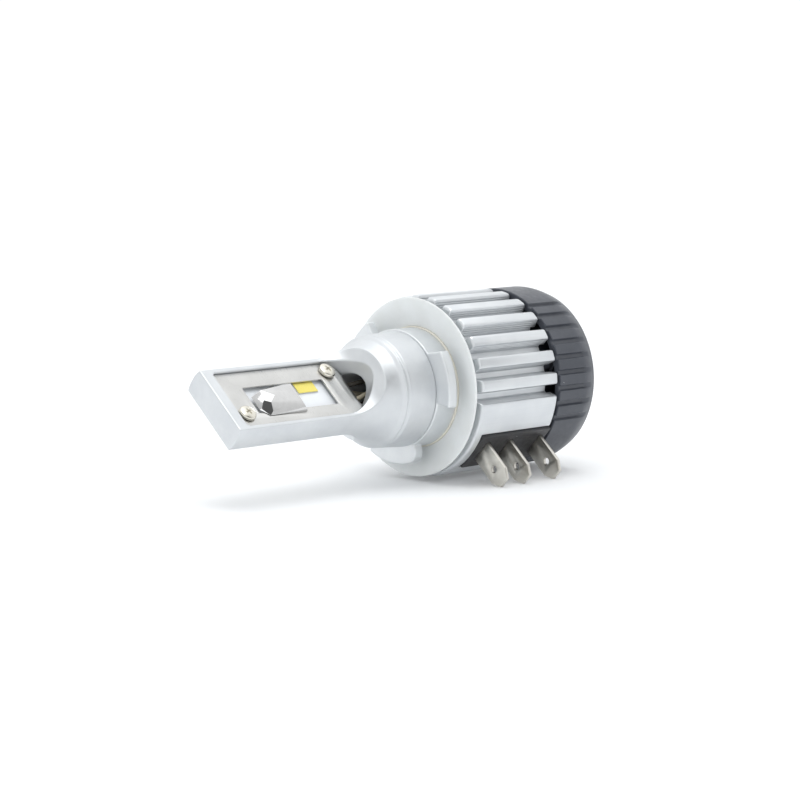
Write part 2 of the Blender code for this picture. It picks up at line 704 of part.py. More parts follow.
def lofted(name, sections, look=None):
    """Closed solid through outlines with the same number of points, each given as (height, outline)."""
    count = len(sections[0][1])
    vertices = [(x, y, height) for height, outline in sections for x, y in outline]
    faces = [tuple(range(count)), tuple(range(len(vertices) - 1, len(vertices) - count - 1, -1))]
    for level in range(len(sections) - 1):
        start = level * count
        for index in range(count):
            follow = (index + 1) % count
            faces.append((start + index, start + count + index, start + count + follow, start + follow))
    mesh = bpy.data.meshes.new(name)
    mesh.from_pydata(vertices, [], faces)
    return add_object(name, mesh, look)


def make_rear_cap():
    """Grooved barrel whose grooves run out where it rounds in, hollowed, with grille and screw bosses."""
    sections = [(height, limited(cap_outline(), limit)) for height, limit in cap_sections()]
    cap = lofted("rear_cap", sections, BLACK_PLASTIC)
    inside = rod("inside", CAP_RADIUS - CAP_WALL, CAP_REAR + CAP_WALL, CAP_FRONT + MM, steps=ROUND_STEPS)
    seats = []
    for angle in CAP_SCREW_ANGLES:
        screw_way = rod("screw_way", CAP_BOSS_BORE + THIN_GAP, CAP_REAR - MM, CAP_FRONT)
        head_seat = rod("head_seat", 2.0 * MM, CAP_REAR - MM, CAP_REAR + 1.1 * MM)
        seats += [at_cap_screw(screw_way, angle), at_cap_screw(head_seat, angle)]
    combine(cap, [inside] + grille_cutters() + seats)
    boss_low = CAP_REAR + CAP_WALL - 0.3 * MM
    bosses = [at_cap_screw(ring("boss", CAP_BOSS_BORE, CAP_BOSS_RADIUS, boss_low, CORE_REAR - FIT_GAP,
                                steps=SMALL_STEPS), angle) for angle in CAP_SCREW_ANGLES]
    return combine(cap, bosses, "UNION")


def make_cap_screw(number, angle):
    """Long screw from the cap's rear face into the heat sink."""
    head_rear = CAP_REAR + 0.15 * MM
    head_front = CAP_REAR + 0.95 * MM
    end = CORE_REAR + 4.4 * MM
    profile = [(0, end), (0.75 * MM, end), (0.75 * MM, head_front), (1.7 * MM, head_front),
               (1.7 * MM, head_rear), (0, head_rear)]
    screw = turned(f"cap_screw_{number}", profile, SCREW_NICKEL, closed=False, steps=SMALL_STEPS)
    arm, half = 1.0 * MM, 0.25 * MM
    low, high = head_rear - MM, head_rear + 0.5 * MM
    cross = box("cross_a", (-arm, -half, low), (arm, half, high))
    cross_b = box("cross_b", (-half, -arm, low), (half, arm, high))
    combine(screw, [cross, cross_b])
    x, y = round_about(CAP_SCREW_PLACE, angle)
    return moved(screw, Matrix.Translation((x, y, 0)))


# ---------------------------------------------------------------- fan
def make_fan_frame():
    """Duct with a motor plate on three arms and three ears round the cap's bosses."""
    plate_rear = FAN_FRONT - FAN_PLATE
    frame = ring("fan_frame", FAN_DUCT, FAN_RADIUS, FAN_REAR, FAN_FRONT, BLACK_PLASTIC)
    extras = [ring("motor_plate", BUSH_RADIUS + THIN_GAP, FAN_BASE_RADIUS, plate_rear, FAN_FRONT, steps=32)]
    arm_half, step = 0.7 * MM, 0.1 * MM
    for angle in (0, 120, 240):
        arm = box("arm", (-arm_half, -FAN_DUCT - 0.3 * MM, plate_rear + step),
                  (arm_half, -FAN_BASE_RADIUS + MM, FAN_FRONT - step))
        extras.append(moved(arm, Matrix.Rotation(math.radians(angle), 4, "Z")))
    ear_hole = CAP_BOSS_RADIUS + FIT_GAP
    for angle in CAP_SCREW_ANGLES:
        ear = ring("ear", ear_hole, ear_hole + 0.5 * MM, plate_rear + step, FAN_FRONT - step,
                   steps=SMALL_STEPS)
        extras.append(at_cap_screw(ear, angle))
    return combine(frame, extras, "UNION")


def make_fan_motor():
    plate_rear = FAN_FRONT - FAN_PLATE
    bush_front = plate_rear + 0.7 * MM
    ring("fan_bush", SHAFT_RADIUS + RUNNING_GAP, BUSH_RADIUS, ROTOR_REAR + 1.3 * MM, bush_front, BRASS,
         steps=24)
    ring("fan_board", BUSH_RADIUS + THIN_GAP, 5.0 * MM, plate_rear - 0.7 * MM, plate_rear - THIN_GAP,
         GREEN_BOARD, steps=24)
    make_stator()
    ring("fan_magnet", 4.75 * MM, 5.3 * MM, ROTOR_REAR + 1.3 * MM, ROTOR_FRONT - FIT_GAP, FERRITE, steps=32)
    rod("fan_shaft", SHAFT_RADIUS, ROTOR_REAR + 0.7 * MM, plate_rear + 0.3 * MM, BRUSHED_STEEL)


def make_stator():
    """Four wound poles round the bush."""
    low, high = ROTOR_REAR + 1.9 * MM, ROTOR_FRONT + 0.1 * MM
    stator = ring("fan_stator", BUSH_RADIUS + THIN_GAP, 2.6 * MM, low, high, COPPER, steps=24)
    poles = []
    for angle in (45, 135, 225, 315):
        pole = box("pole", (-0.9 * MM, -4.4 * MM, low), (0.9 * MM, -2.3 * MM, high))
        poles.append(moved(pole, Matrix.Rotation(math.radians(angle), 4, "Z")))
    return combine(stator, poles, "UNION")


def make_fan_rotor():
    """Cup with nine swept blades."""
    wall = 0.5 * MM
    floor = ROTOR_REAR + 0.6 * MM
    profile = [(0, floor), (ROTOR_RADIUS - wall, floor), (ROTOR_RADIUS - wall, ROTOR_FRONT),
               (ROTOR_RADIUS, ROTOR_FRONT), (ROTOR_RADIUS, ROTOR_REAR), (0, ROTOR_REAR)]
    rotor = turned("fan_rotor", profile, BLACK_PLASTIC, closed=False)
    return combine(rotor, [impeller_blades()], "UNION")


def impeller_blades():
    """All blades as one cutter: each a pitched sheet that sweeps back towards its tip."""
    work = bmesh.new()
    radial_steps, chord_steps = 2, 2
    inner = ROTOR_RADIUS - 0.3 * MM
    height = (ROTOR_FRONT - ROTOR_REAR) - 0.8 * MM
    middle = (ROTOR_FRONT + ROTOR_REAR) / 2
    for blade in range(IMPELLER_BLADES):
        grid = []
        for i in range(radial_steps + 1):
            share = i / radial_steps
            radius = inner + (IMPELLER_RADIUS - inner) * share
            row = []
            for k in range(chord_steps + 1):
                along = k / chord_steps - 0.5
                angle = math.radians(360 * blade / IMPELLER_BLADES + 14 * share - (44 - 8 * share) * along)
                row.append(work.verts.new((radius * math.cos(angle), radius * math.sin(angle),
                                           middle + height * along * (1 - 0.12 * share))))
            grid.append(row)
        for near, far in zip(grid, grid[1:]):
            for k in range(chord_steps):
                work.faces.new((near[k], near[k + 1], far[k + 1], far[k]))
    bmesh.ops.recalc_face_normals(work, faces=work.faces)
    mesh = bpy.data.meshes.new("impeller_blades")
    work.to_mesh(mesh)
    work.free()
    blades = add_object("impeller_blades", mesh)
    sheet = blades.modifiers.new("sheet", "SOLIDIFY")
    sheet.thickness = 0.6 * MM
    sheet.offset = 0
    settle(blades)
    weld(blades.data)
    return blades


# ---------------------------------------------------------------- assembly
def lay_down():
    """Lays every part on its side under one empty, resting on z = 0 round the origin."""
    empty = bpy.data.objects.new("bulb_axis", None)
    PARTS.objects.link(empty)
    tip = Vector((-1, 0, 0))
    blades = Vector((0, -math.sin(LEAN), -math.cos(LEAN)))
    turn = Matrix((-blades.cross(tip), -blades, tip)).transposed().to_4x4()
    view = bpy.context.evaluated_depsgraph_get()
    low = Vector((1, 1, 1))
    high = -low
    for piece in PARTS.objects:
        if piece.type == "EMPTY":
            continue
        mesh = piece.evaluated_get(view).to_mesh()
        for vertex in mesh.vertices:
            place = turn @ piece.matrix_world @ vertex.co
            low = Vector(map(min, low, place))
            high = Vector(map(max, high, place))
        piece.evaluated_get(view).to_mesh_clear()
        piece.parent = empty
    empty.matrix_world = Matrix.Translation((-(low.x + high.x) / 2, -(low.y + high.y) / 2, -low.z)) @ turn


def smooth_shading():
    for piece in PARTS.objects:
        if piece.type == "MESH":
            piece.data.shade_smooth()
            piece.data.set_sharp_from_angle(angle=math.radians(35))


def make_lamp():
    make_lamp_body()
    make_lock_collar()
    make_seal_ring()
    make_lamp_side("front", FACING_Z)
    make_lamp_side("back", HALF_TURN)


def make_rear_end():
    make_heatsink()
    make_connector_block()
    for number, z in enumerate(BLADE_PLACES, 1):
        make_terminal(number, z)
    make_driver()
    make_fan_frame()
    make_fan_motor()
    make_fan_rotor()
    make_rear_cap()
    for number, angle in enumerate(CAP_SCREW_ANGLES, 1):
        make_cap_screw(number, angle)


def main():
    make_lamp()
    lamp_pieces = set(PARTS.objects)
    make_rear_end()
    for piece in PARTS.objects:
        if piece not in lamp_pieces:
            moved(piece, SINK_TURN)
    smooth_shading()
    lay_down()


main()
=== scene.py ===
"""Looks of a headlight bulb: fine meshes and procedural materials, in a soft-lit room."""
import math

import bmesh
import bpy
from mathutils import Matrix, Vector


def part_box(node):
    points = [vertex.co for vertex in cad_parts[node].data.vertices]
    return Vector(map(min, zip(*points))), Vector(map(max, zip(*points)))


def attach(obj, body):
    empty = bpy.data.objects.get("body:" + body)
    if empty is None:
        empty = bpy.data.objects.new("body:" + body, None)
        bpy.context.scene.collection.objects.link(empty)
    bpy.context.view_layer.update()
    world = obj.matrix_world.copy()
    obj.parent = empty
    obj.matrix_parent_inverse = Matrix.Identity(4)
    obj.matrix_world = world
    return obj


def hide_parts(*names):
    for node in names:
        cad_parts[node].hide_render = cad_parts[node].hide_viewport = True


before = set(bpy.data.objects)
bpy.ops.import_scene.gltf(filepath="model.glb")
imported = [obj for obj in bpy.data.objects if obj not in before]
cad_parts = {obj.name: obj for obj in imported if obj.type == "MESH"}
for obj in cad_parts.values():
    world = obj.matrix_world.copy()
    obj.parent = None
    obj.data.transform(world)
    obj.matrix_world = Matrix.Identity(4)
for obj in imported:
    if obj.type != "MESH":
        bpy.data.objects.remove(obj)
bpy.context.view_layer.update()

# ---------------- sizes, in the lamp's own frame
# The lamp's frame: Z along the axis to the lamp tip, -Y to the plug blades, X out of the front window,
# and z = 0 on the seal ring's front face.
MM = 0.001
LEAN = math.radians(49)         # the lamp blade's lower edge from straight down
SINK_TURN = math.radians(-1.4)  # the heat sink and all behind it, round the axis from the lamp head

SEAL_RADIUS = 18.6 * MM
SEAL_DEPTH = 1.6 * MM
SEAL_SHEET = 0.4 * MM
SEAL_FLAT = 17.6 * MM
STUB_RADIUS = 9.5 * MM
COLLAR_RADIUS = 12.3 * MM
COLLAR_FRONT = 4.65 * MM
LUG_RADIUS = 15.7 * MM
LUG_THICKNESS = 2.35 * MM
LUG_ARCS = ((31.5, 75.0), (-79.0, -26.0), (164.0, 206.0))
LUG_ROOTS = ((31.5, 82.5), (-79.0, -23.0), (164.0, 206.0))
LUG_ROUNDS = (0, 11.0, 0)      # degrees of the far end that round off

NECK_RADIUS = 11.5 * MM
NECK_BASE_RADIUS = 12.0 * MM
NECK_RIM = 12.3 * MM
NECK_CHAMFER = 0.8 * MM
NECK_GROOVE = 0.4 * MM
NECK_GROOVE_EDGES = (0.2 * MM, 0.35 * MM, 0.75 * MM, 1.1 * MM)   # behind the rim
FLARE_END = 22.5 * MM
BLADE_TIP = 53.2 * MM
BLADE_ROUND = 8.45 * MM
BLADE_HALF_THICKNESS = 2.8 * MM
FLAT_END = 24.0 * MM
CLIMB_RADIUS = 8.4 * MM
WIRE_BORE = 4.2 * MM
WIRE_BORE_END = 19.5 * MM
WIRE_RADIUS = 0.45 * MM

POCKET_HALF_WIDTH = 7.0 * MM
POCKET_TIP = 50.6 * MM
POCKET_ROUND_CENTRE = 23.4 * MM
POCKET_CORNER = 0.8 * MM
WEB_HALF = 0.7 * MM
BOARD_LAYER = (0.82 * MM, 1.3 * MM)
CHIP_LAYER = (1.42 * MM, 1.7 * MM)
PLATE_LAYER = (1.87 * MM, 2.27 * MM)
PLATE_BEND = 19.7 * MM
PLATE_BEND_RADIUS = 2.1 * MM
PLATE_BEND_ANGLE = math.radians(50)
BOARD_END = 21.5 * MM
BOARD_EDGE_GAP = 0.6 * MM
WINDOW_Z = (24.4 * MM, 45.4 * MM)
WINDOW_Y = (-3.8 * MM, 2.9 * MM)
DAY_CHIP = ((26.7 * MM, 31.9 * MM), (0.4 * MM, 3.1 * MM))
MAIN_CHIP = ((35.3 * MM, 40.1 * MM), (-2.4 * MM, 0.5 * MM))
HOOD_SHEET = 0.3 * MM

COVER_SCREWS = ((22.1 * MM, 4.6 * MM), (48.6 * MM, -3.9 * MM))
SCREW_HEAD_RADIUS = 1.8 * MM
SCREW_HEAD_HEIGHT = 1.0 * MM
SCREW_SHANK_RADIUS = 0.8 * MM
SCREW_HOLE_RADIUS = 1.1 * MM

FIN_RADIUS = 18.95 * MM
GROOVE_RADIUS = 16.2 * MM
SINK_FRONT = -1.9 * MM
SINK_REAR = -24.3 * MM
CORE_REAR = -23.1 * MM
SINK_WALL_REAR = -3.5 * MM
CAVITY_RADIUS = 12.6 * MM
PLUG_HALF_ANGLE = 14.35
LAND_END_ANGLE = 35.75
FIN_COUNT = 19
SERRATIONS = 4
SERRATION_SLOPE = 0.08 * MM
SERRATION_HALF = 0.13 * MM
SERRATION_DEPTH = 0.16 * MM

PLUG_FRONT = -3.87 * MM
PLUG_REAR = -24.1 * MM
PLUG_INNER = 8.6 * MM
PLUG_FACE = 18.85 * MM
BLADE_PLACES = (-6.8 * MM, -13.5 * MM, -22.6 * MM)
PLUG_BLADE_TIP = 27.5 * MM
PLUG_BLADE_HALF_WIDTH = 2.56 * MM
PLUG_BLADE_THICKNESS = 0.8 * MM
PLUG_BLADE_CHAMFER = 1.25 * MM
PLUG_BLADE_HOLE = 0.75 * MM
PLUG_BLADE_HOLE_FROM_TIP = 3.8 * MM
PLUG_BLADE_ROOT = 7.3 * MM

CAP_RADIUS = 19.0 * MM
CAP_FRONT = -24.95 * MM
CAP_BEVEL = -32.85 * MM
CAP_REAR = -36.95 * MM
CAP_REAR_RADIUS = 18.1 * MM
CAP_WALL = 1.6 * MM
CAP_GROOVE_DEPTH = 0.55 * MM
CAP_GROOVE_ANGLE = 4.0
CAP_LAND_ANGLE = 6.0
CAP_GROOVE_SHAPE = ((0.04, 0.12), (0.12, 0.75), (0.22, 1), (0.5, 1), (0.78, 1), (0.88, 0.75),
                    (0.96, 0.12))   # shares of a groove's width and depth
CAP_GROOVES_PER_THIRD = 9
GRILLE_RADIUS = 12.0 * MM
GRILLE_HUB_RADIUS = 4.2 * MM
GRILLE_RING = (7.7 * MM, 8.6 * MM)
GRILLE_SPOKES = 6
GRILLE_SPOKE_HALF = 0.6 * MM
CAP_SCREW_ANGLES = (60, 180, 300)
CAP_SCREW_PLACE = 14.5 * MM
CAP_BOSS_RADIUS = 1.7 * MM
CAP_BOSS_BORE = 1.15 * MM

ROTOR_RADIUS = 6.0 * MM
ROTOR_FRONT = -28.05 * MM
ROTOR_REAR = -33.55 * MM
IMPELLER_RADIUS = 11.4 * MM
IMPELLER_BLADES = 9

FIT_GAP = 0.3 * MM
THIN_GAP = 0.12 * MM
SEAM = 0.03 * MM
ROUND_STEPS = 160
SMALL_STEPS = 48

FACING_X = Matrix(((0, 0, 1, 0), (1, 0, 0, 0), (0, 1, 0, 0), (0, 0, 0, 1)))
FACING_Y = Matrix(((0, 1, 0, 0), (0, 0, 1, 0), (1, 0, 0, 0), (0, 0, 0, 1)))
FACING_Z = Matrix.Identity(4)
HALF_TURN = Matrix.Rotation(math.pi, 4, "Z")


def seal_middle():
    """The middle of the seal ring's front face."""
    low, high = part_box("seal_ring")
    return Vector((low.x, (low.y + high.y) / 2, (low.z + high.z) / 2))


def lamp_frame():
    """From the lamp's own frame to the row's: the seal ring gives the axis and its front face."""
    seal_front = seal_middle()
    turn = Matrix(((0, 0, -1), (-math.cos(LEAN), math.sin(LEAN), 0), (math.sin(LEAN), math.cos(LEAN), 0)))
    return Matrix.Translation(seal_front) @ turn.to_4x4()


LAMP = lamp_frame()
REAR = LAMP @ Matrix.Rotation(SINK_TURN, 4, "Z")


# ---------------- outlines
def arc(centre, radius, start, end, steps):
    """Points on an arc, with angles in degrees."""
    points = []
    for i in range(steps + 1):
        angle = math.radians(start + (end - start) * i / steps)
        points.append((centre[0] + radius * math.cos(angle), centre[1] + radius * math.sin(angle)))
    return points


def round_about(radius, angle):
    """A point at an angle in degrees from the plug blades, seen along the axis."""
    turn = math.radians(angle)
    return radius * math.sin(turn), -radius * math.cos(turn)


def circle(radius, centre, steps):
    return arc(centre, radius, 0, 360 * (steps - 1) / steps, steps - 1)


def filleted(points, radius, steps=3, closed=True, sharpest=math.radians(25)):
    """The outline with its sharp corners rounded."""
    result = []
    count = len(points)
    for i, point in enumerate(points):
        here = Vector(point)
        if not closed and i in (0, count - 1):
            result.append(tuple(here))
            continue
        before = Vector(points[i - 1]) - here
        after = Vector(points[(i + 1) % count]) - here
        if before.length < 1e-9 or after.length < 1e-9:
            continue
        turn = math.pi - before.angle(after)
        if turn < sharpest:
            result.append(tuple(here))
            continue
        reach = min(radius * math.tan(turn / 2), before.length * 0.48, after.length * 0.48)
        start = here + before.normalized() * reach
        end = here + after.normalized() * reach
        for k in range(steps + 1):
            t = k / steps
            result.append(tuple(start * (1 - t) ** 2 + here * 2 * t * (1 - t) + end * t ** 2))
    return result


def slot_outline(half_width, tip, centre, corner):
    """The pocket's outline across and along the blade: square tip end, round neck end."""
    inner = half_width - corner
    points = arc((inner, tip - corner), corner, 0, 90, 6)
    points += arc((-inner, tip - corner), corner, 90, 180, 6)
    points += arc((0, centre), half_width, 180, 360, 40)
    return points


# ---------------- mesh helpers
def new_piece(name, mesh):
    made = bpy.data.objects.new(name, mesh)
    bpy.context.scene.collection.objects.link(made)
    return made


def cleaned(mesh):
    """Merges points that coincide and turns all faces outwards."""
    work = bmesh.new()
    work.from_mesh(mesh)
    bmesh.ops.remove_doubles(work, verts=work.verts, dist=0.002 * MM)
    bmesh.ops.recalc_face_normals(work, faces=work.faces)
    work.to_mesh(mesh)
    work.free()
    return mesh


def finished(name, work):
    """A piece from a bmesh, which is freed."""
    mesh = bpy.data.meshes.new(name)
    work.to_mesh(mesh)
    work.free()
    return new_piece(name, mesh)


def drawn(name, curve):
    """The mesh that a curve makes."""
    line = new_piece(name + "_line", curve)
    view = bpy.context.evaluated_depsgraph_get()
    mesh = bpy.data.meshes.new_from_object(line.evaluated_get(view))
    bpy.data.objects.remove(line, do_unlink=True)
    return cleaned(mesh)


def from_faces(name, vertices, faces):
    """A piece from its corner points and the faces between them."""
    mesh = bpy.data.meshes.new(name)
    mesh.from_pydata(vertices, [], faces)
    return new_piece(name, cleaned(mesh))


def settle(piece):
    """Turns the modified shape into the piece's own mesh."""
    view = bpy.context.evaluated_depsgraph_get()
    view.update()
    shape = bpy.data.meshes.new_from_object(piece.evaluated_get(view), depsgraph=view)
    piece.modifiers.clear()
    piece.data = shape
    return piece


def turned(name, profile, steps=ROUND_STEPS, closed=False):
    """A profile of (radius, z) points turned round the axis. An open one starts and ends on the axis."""
    vertices, rings = [], []
    for radius, z in profile:
        if radius < 1e-8:
            rings.append([len(vertices)] * steps)
            vertices.append((0, 0, z))
            continue
        rings.append(list(range(len(vertices), len(vertices) + steps)))
        for i in range(steps):
            angle = 2 * math.pi * i / steps
            vertices.append((radius * math.cos(angle), radius * math.sin(angle), z))
    pairs = list(zip(rings, rings[1:]))
    if closed:
        pairs.append((rings[-1], rings[0]))
    faces = []
    for low, high in pairs:
        for i in range(steps):
            k = (i + 1) % steps
            corners = tuple(dict.fromkeys((low[i], low[k], high[k], high[i])))
            if len(corners) > 2:
                faces.append(corners)
    return from_faces(name, vertices, faces)


def rod(name, radius, low, high, steps=SMALL_STEPS):
    """A plain cylinder on the axis, for cutting."""
    return turned(name, [(0, high), (radius, high), (radius, low), (0, low)], steps)


def ring(name, inner, outer, low, high, steps=ROUND_STEPS, edge=0):
    """A sleeve round the axis."""
    profile = [(outer, high), (outer, low), (inner, low), (inner, high)]
    if edge:
        profile = filleted(profile, edge)
    return turned(name, profile, steps, closed=True)


def slab(name, loops, low, high, plane=FACING_Z, edge=0.0):
    """Flat outlines, the first with the others as holes, filled between two heights, with rounded edges."""
    curve = bpy.data.curves.new(name, "CURVE")
    curve.dimensions = "2D"
    curve.fill_mode = "BOTH"
    curve.extrude = (high - low) / 2 - edge
    curve.bevel_depth = edge
    curve.offset = -edge
    curve.bevel_resolution = 1
    for loop in loops:
        spline = curve.splines.new("POLY")
        spline.points.add(len(loop) - 1)
        for point, (u, v) in zip(spline.points, loop):
            point.co = (u, v, 0, 1)
        spline.use_cyclic_u = True
    mesh = drawn(name, curve)
    mesh.transform(plane @ Matrix.Translation((0, 0, (low + high) / 2)))
    return new_piece(name, mesh)


def box(name, low, high, edge=0.0):
    """A box between two corners, with rounded edges."""
    work = bmesh.new()
    bmesh.ops.create_cube(work, size=1)
    bmesh.ops.scale(work, vec=Vector(high) - Vector(low), verts=work.verts)
    bmesh.ops.translate(work, vec=(Vector(low) + Vector(high)) / 2, verts=work.verts)
    if edge:
        bmesh.ops.bevel(work, geom=work.edges[:], offset=edge, segments=3, profile=0.5, affect="EDGES")
    return finished(name, work)


def lofted(name, sections):
    """Closed solid through outlines with the same number of points, each given as (height, outline)."""
    count = len(sections[0][1])
    vertices = [(x, y, height) for height, outline in sections for x, y in outline]
    faces = [tuple(range(count)), tuple(range(len(vertices) - 1, len(vertices) - count - 1, -1))]
    for level in range(len(sections) - 1):
        start = level * count
        for index in range(count):
            follow = (index + 1) % count
            faces.append((start + index, start + count + index, start + count + follow, start + follow))
    return from_faces(name, vertices, faces)


def combine(target, others, operation="DIFFERENCE"):
    """Cuts the others out of the target, or joins or intersects them, and uses them up."""
    for other in others:
        step = target.modifiers.new(other.name, "BOOLEAN")
        step.operation = operation
        step.solver = "EXACT"
        step.object = other
    settle(target)
    for other in others:
        bpy.data.objects.remove(other, do_unlink=True)
    return target


def edged(piece, width, segments=2, angle=35):
    """Rounds the piece's sharp edges."""
    bevel = piece.modifiers.new("edges", "BEVEL")
    bevel.width = width
    bevel.segments = segments
    bevel.limit_method = "ANGLE"
    bevel.angle_limit = math.radians(angle)
    bevel.use_clamp_overlap = False
    return settle(piece)


def recast(piece, voxel, rounds):
    """Rebuilds the piece as one even skin with softened edges, as a casting has."""
    skin = piece.modifiers.new("skin", "REMESH")
    skin.mode = "VOXEL"
    skin.voxel_size = voxel
    settle(piece)
    soft = piece.modifiers.new("soft", "SMOOTH")
    soft.factor = 0.5
    soft.iterations = rounds
    return settle(piece)


def moved(piece, matrix):
    piece.data.transform(matrix)
    return piece


def across(y, z):
    """Turns a piece made along Z so that it points out of the front window at a place."""
    return Matrix.Translation((0, y, z)) @ Matrix.Rotation(math.pi / 2, 4, "Y")


def at_cap_screw(piece, angle):
    """Moves a piece made on the axis out to a cap screw's place."""
    x, y = round_about(CAP_SCREW_PLACE, angle)
    return moved(piece, Matrix.Translation((x, y, 0)))


def join(name, pieces):
    """One piece from several."""
    work = bmesh.new()
    for piece in pieces:
        work.from_mesh(piece.data)
        bpy.data.objects.remove(piece, do_unlink=True)
    return finished(name, work)


def show(piece, look, nodes, body="bulb", smooth_angle=40, place=LAMP):
    """Puts a finished piece in the row's frame, in its material, on its body, in place of its CAD nodes."""
    piece.data.transform(place)
    for each in look if isinstance(look, (list, tuple)) else [look]:
        piece.data.materials.append(each)
    piece.data.shade_smooth()
    if smooth_angle:
        piece.data.set_sharp_from_angle(angle=math.radians(smooth_angle))
    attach(piece, body)
    if nodes:
        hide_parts(*nodes)
    return piece


# ---------------- materials
def add_node(tree, kind, values, links):
    """A shader node, with values and links given for its sockets."""
    node = tree.nodes.new("ShaderNode" + kind)
    for socket, value in values.items():
        node.inputs[socket].default_value = value
    for socket, source in links.items():
        tree.links.new(source, node.inputs[socket])
    return node


def ranged(tree, value, numbers):
    """A node that carries a value from one range to another, given as four numbers."""
    values = dict(zip(("From Min", "From Max", "To Min", "To Max"), numbers))
    return add_node(tree, "MapRange", values, {"Value": value})


class Look:
    """A Principled material whose detail is worked out in millimetres from the piece's own coordinates."""

    def __init__(self, name, **uniform):
        self.material = bpy.data.materials.new(name)
        self.material.use_nodes = True
        self.tree = self.material.node_tree
        self.surface = self.tree.nodes["Principled BSDF"]
        for socket, value in uniform.items():
            self.surface.inputs[socket.replace("_", " ")].default_value = value
        place = add_node(self.tree, "TexCoord", {}, {})
        self.scale = add_node(self.tree, "VectorMath", {}, {0: place.outputs["Object"]})
        self.scale.operation = "SCALE"
        self.scale.inputs["Scale"].default_value = 1000
        self.height = None

    def stretched(self, stretch):
        """Coordinates in millimetres, drawn out along some of the axes."""
        node = add_node(self.tree, "VectorMath", {1: stretch}, {0: self.scale.outputs[0]})
        node.operation = "MULTIPLY"
        return node.outputs[0]

    def noise(self, size, detail, stretch=(1, 1, 1)):
        """Noise with features of about this many millimetres."""
        values = {"Scale": 1 / size, "Detail": detail}
        return add_node(self.tree, "TexNoise", values, {"Vector": self.stretched(stretch)}).outputs["Fac"]

    def dots(self, size, radius):
        """1 in small sparse dots, 0 elsewhere."""
        node = add_node(self.tree, "TexVoronoi", {"Scale": 1 / size}, {"Vector": self.scale.outputs[0]})
        return self.between(node.outputs["Distance"], radius, radius * 0.6, 0, 1)

    def between(self, value, *numbers):
        """The value carried from one range, low to high, to another."""
        return ranged(self.tree, value, numbers).outputs["Result"]

    def blended(self, factor, first, second):
        """From the first colour to the second as the factor goes from 0 to 1."""
        node = self.tree.nodes.new("ShaderNodeMix")
        node.data_type = "RGBA"
        self.tree.links.new(factor, node.inputs[0])
        for index, colour in ((6, first), (7, second)):
            if isinstance(colour, bpy.types.NodeSocket):
                self.tree.links.new(colour, node.inputs[index])
            else:
                node.inputs[index].default_value = (*colour, 1)
        return node.outputs[2]

    def mottled(self, value, light, dark, low=0.35, high=0.65):
        """Colour that drifts between light and dark with the value."""
        return self.blended(self.between(value, low, high, 0, 1), light, dark)

    def colour(self, socket):
        self.tree.links.new(socket, self.surface.inputs["Base Color"])

    def roughness(self, value, low, high):
        """Roughness that goes from low to high with the value."""
        spread = self.between(value, 0.3, 0.7, low, high)
        self.tree.links.new(spread, self.surface.inputs["Roughness"])

    def bumped(self, value, strength, depth):
        """Adds a layer of relief; depth is in millimetres."""
        values = {"Strength": strength, "Distance": depth * MM}
        node = add_node(self.tree, "Bump", values, {"Height": value})
        if self.height is not None:
            self.tree.links.new(self.height, node.inputs["Normal"])
        self.height = node.outputs["Normal"]
        self.tree.links.new(self.height, self.surface.inputs["Normal"])


def cast_metal(name, light, dark):
    """Bead-blasted aluminium: fine even grain, faint cloudiness."""
    look = Look(name, Metallic=0.85)
    clouds = look.noise(5.0, 3)
    look.colour(look.mottled(clouds, light, dark))
    look.roughness(look.noise(1.2, 2), 0.4, 0.52)
    look.bumped(look.noise(0.14, 1), 0.12, 0.02)
    return look.material


def milled_metal():
    """Anodised fins: fine drawn lines along the axis over a blasted grain."""
    look = Look("anodised_fins", Metallic=0.85)
    lines = look.noise(0.25, 2, (0.03, 1, 1))
    clouds = look.noise(6.0, 2)
    look.colour(look.mottled(clouds, (0.72, 0.74, 0.755), (0.67, 0.69, 0.71)))
    look.roughness(lines, 0.36, 0.5)
    look.bumped(lines, 0.1, 0.02)
    look.bumped(look.noise(0.13, 1), 0.1, 0.015)
    return look.material


def brushed_plate():
    """Thin stainless sheet, brushed across its width."""
    look = Look("brushed_plate", Metallic=1.0)
    lines = look.noise(0.12, 3, (1, 0.06, 0.06))
    smudge = look.noise(4.0, 3)
    look.colour(look.mottled(smudge, (0.66, 0.655, 0.64), (0.59, 0.585, 0.57), 0.3, 0.7))
    look.roughness(lines, 0.26, 0.4)
    look.bumped(lines, 0.08, 0.01)
    return look.material


def satin_nickel(name, light, dark, rough=(0.2, 0.34)):
    """Bare or plated metal with a faint smudging, for small parts."""
    look = Look(name, Metallic=1.0)
    smudge = look.noise(1.6, 4)
    look.colour(look.mottled(smudge, light, dark, 0.3, 0.7))
    look.roughness(look.noise(0.8, 4), *rough)
    look.bumped(look.noise(0.3, 3), 0.06, 0.01)
    return look.material


def blade_plating():
    """Nickel plating with fine drawn lines along the blades."""
    look = Look("blade_nickel", Metallic=1.0)
    lines = look.noise(0.1, 2, (1, 0.05, 0.08))
    look.colour(look.mottled(lines, (0.68, 0.66, 0.61), (0.60, 0.58, 0.53), 0.3, 0.7))
    look.roughness(lines, 0.28, 0.38)
    look.bumped(lines, 0.02, 0.01)
    return look.material


def silicone():
    """Milky rubber that lets a little light through."""
    look = Look("milky_silicone", Subsurface_Weight=0.35, Subsurface_Scale=0.001, IOR=1.41)
    look.surface.inputs["Subsurface Radius"].default_value = (0.95, 1.0, 1.0)
    clouds = look.noise(7.0, 3)
    base = look.mottled(clouds, (0.80, 0.825, 0.83), (0.75, 0.77, 0.765))
    look.colour(look.blended(look.dots(6.5, 0.035), base, (0.3, 0.3, 0.3)))
    look.roughness(look.noise(2.5, 3), 0.36, 0.5)
    look.bumped(look.noise(0.5, 2), 0.06, 0.02)
    return look.material


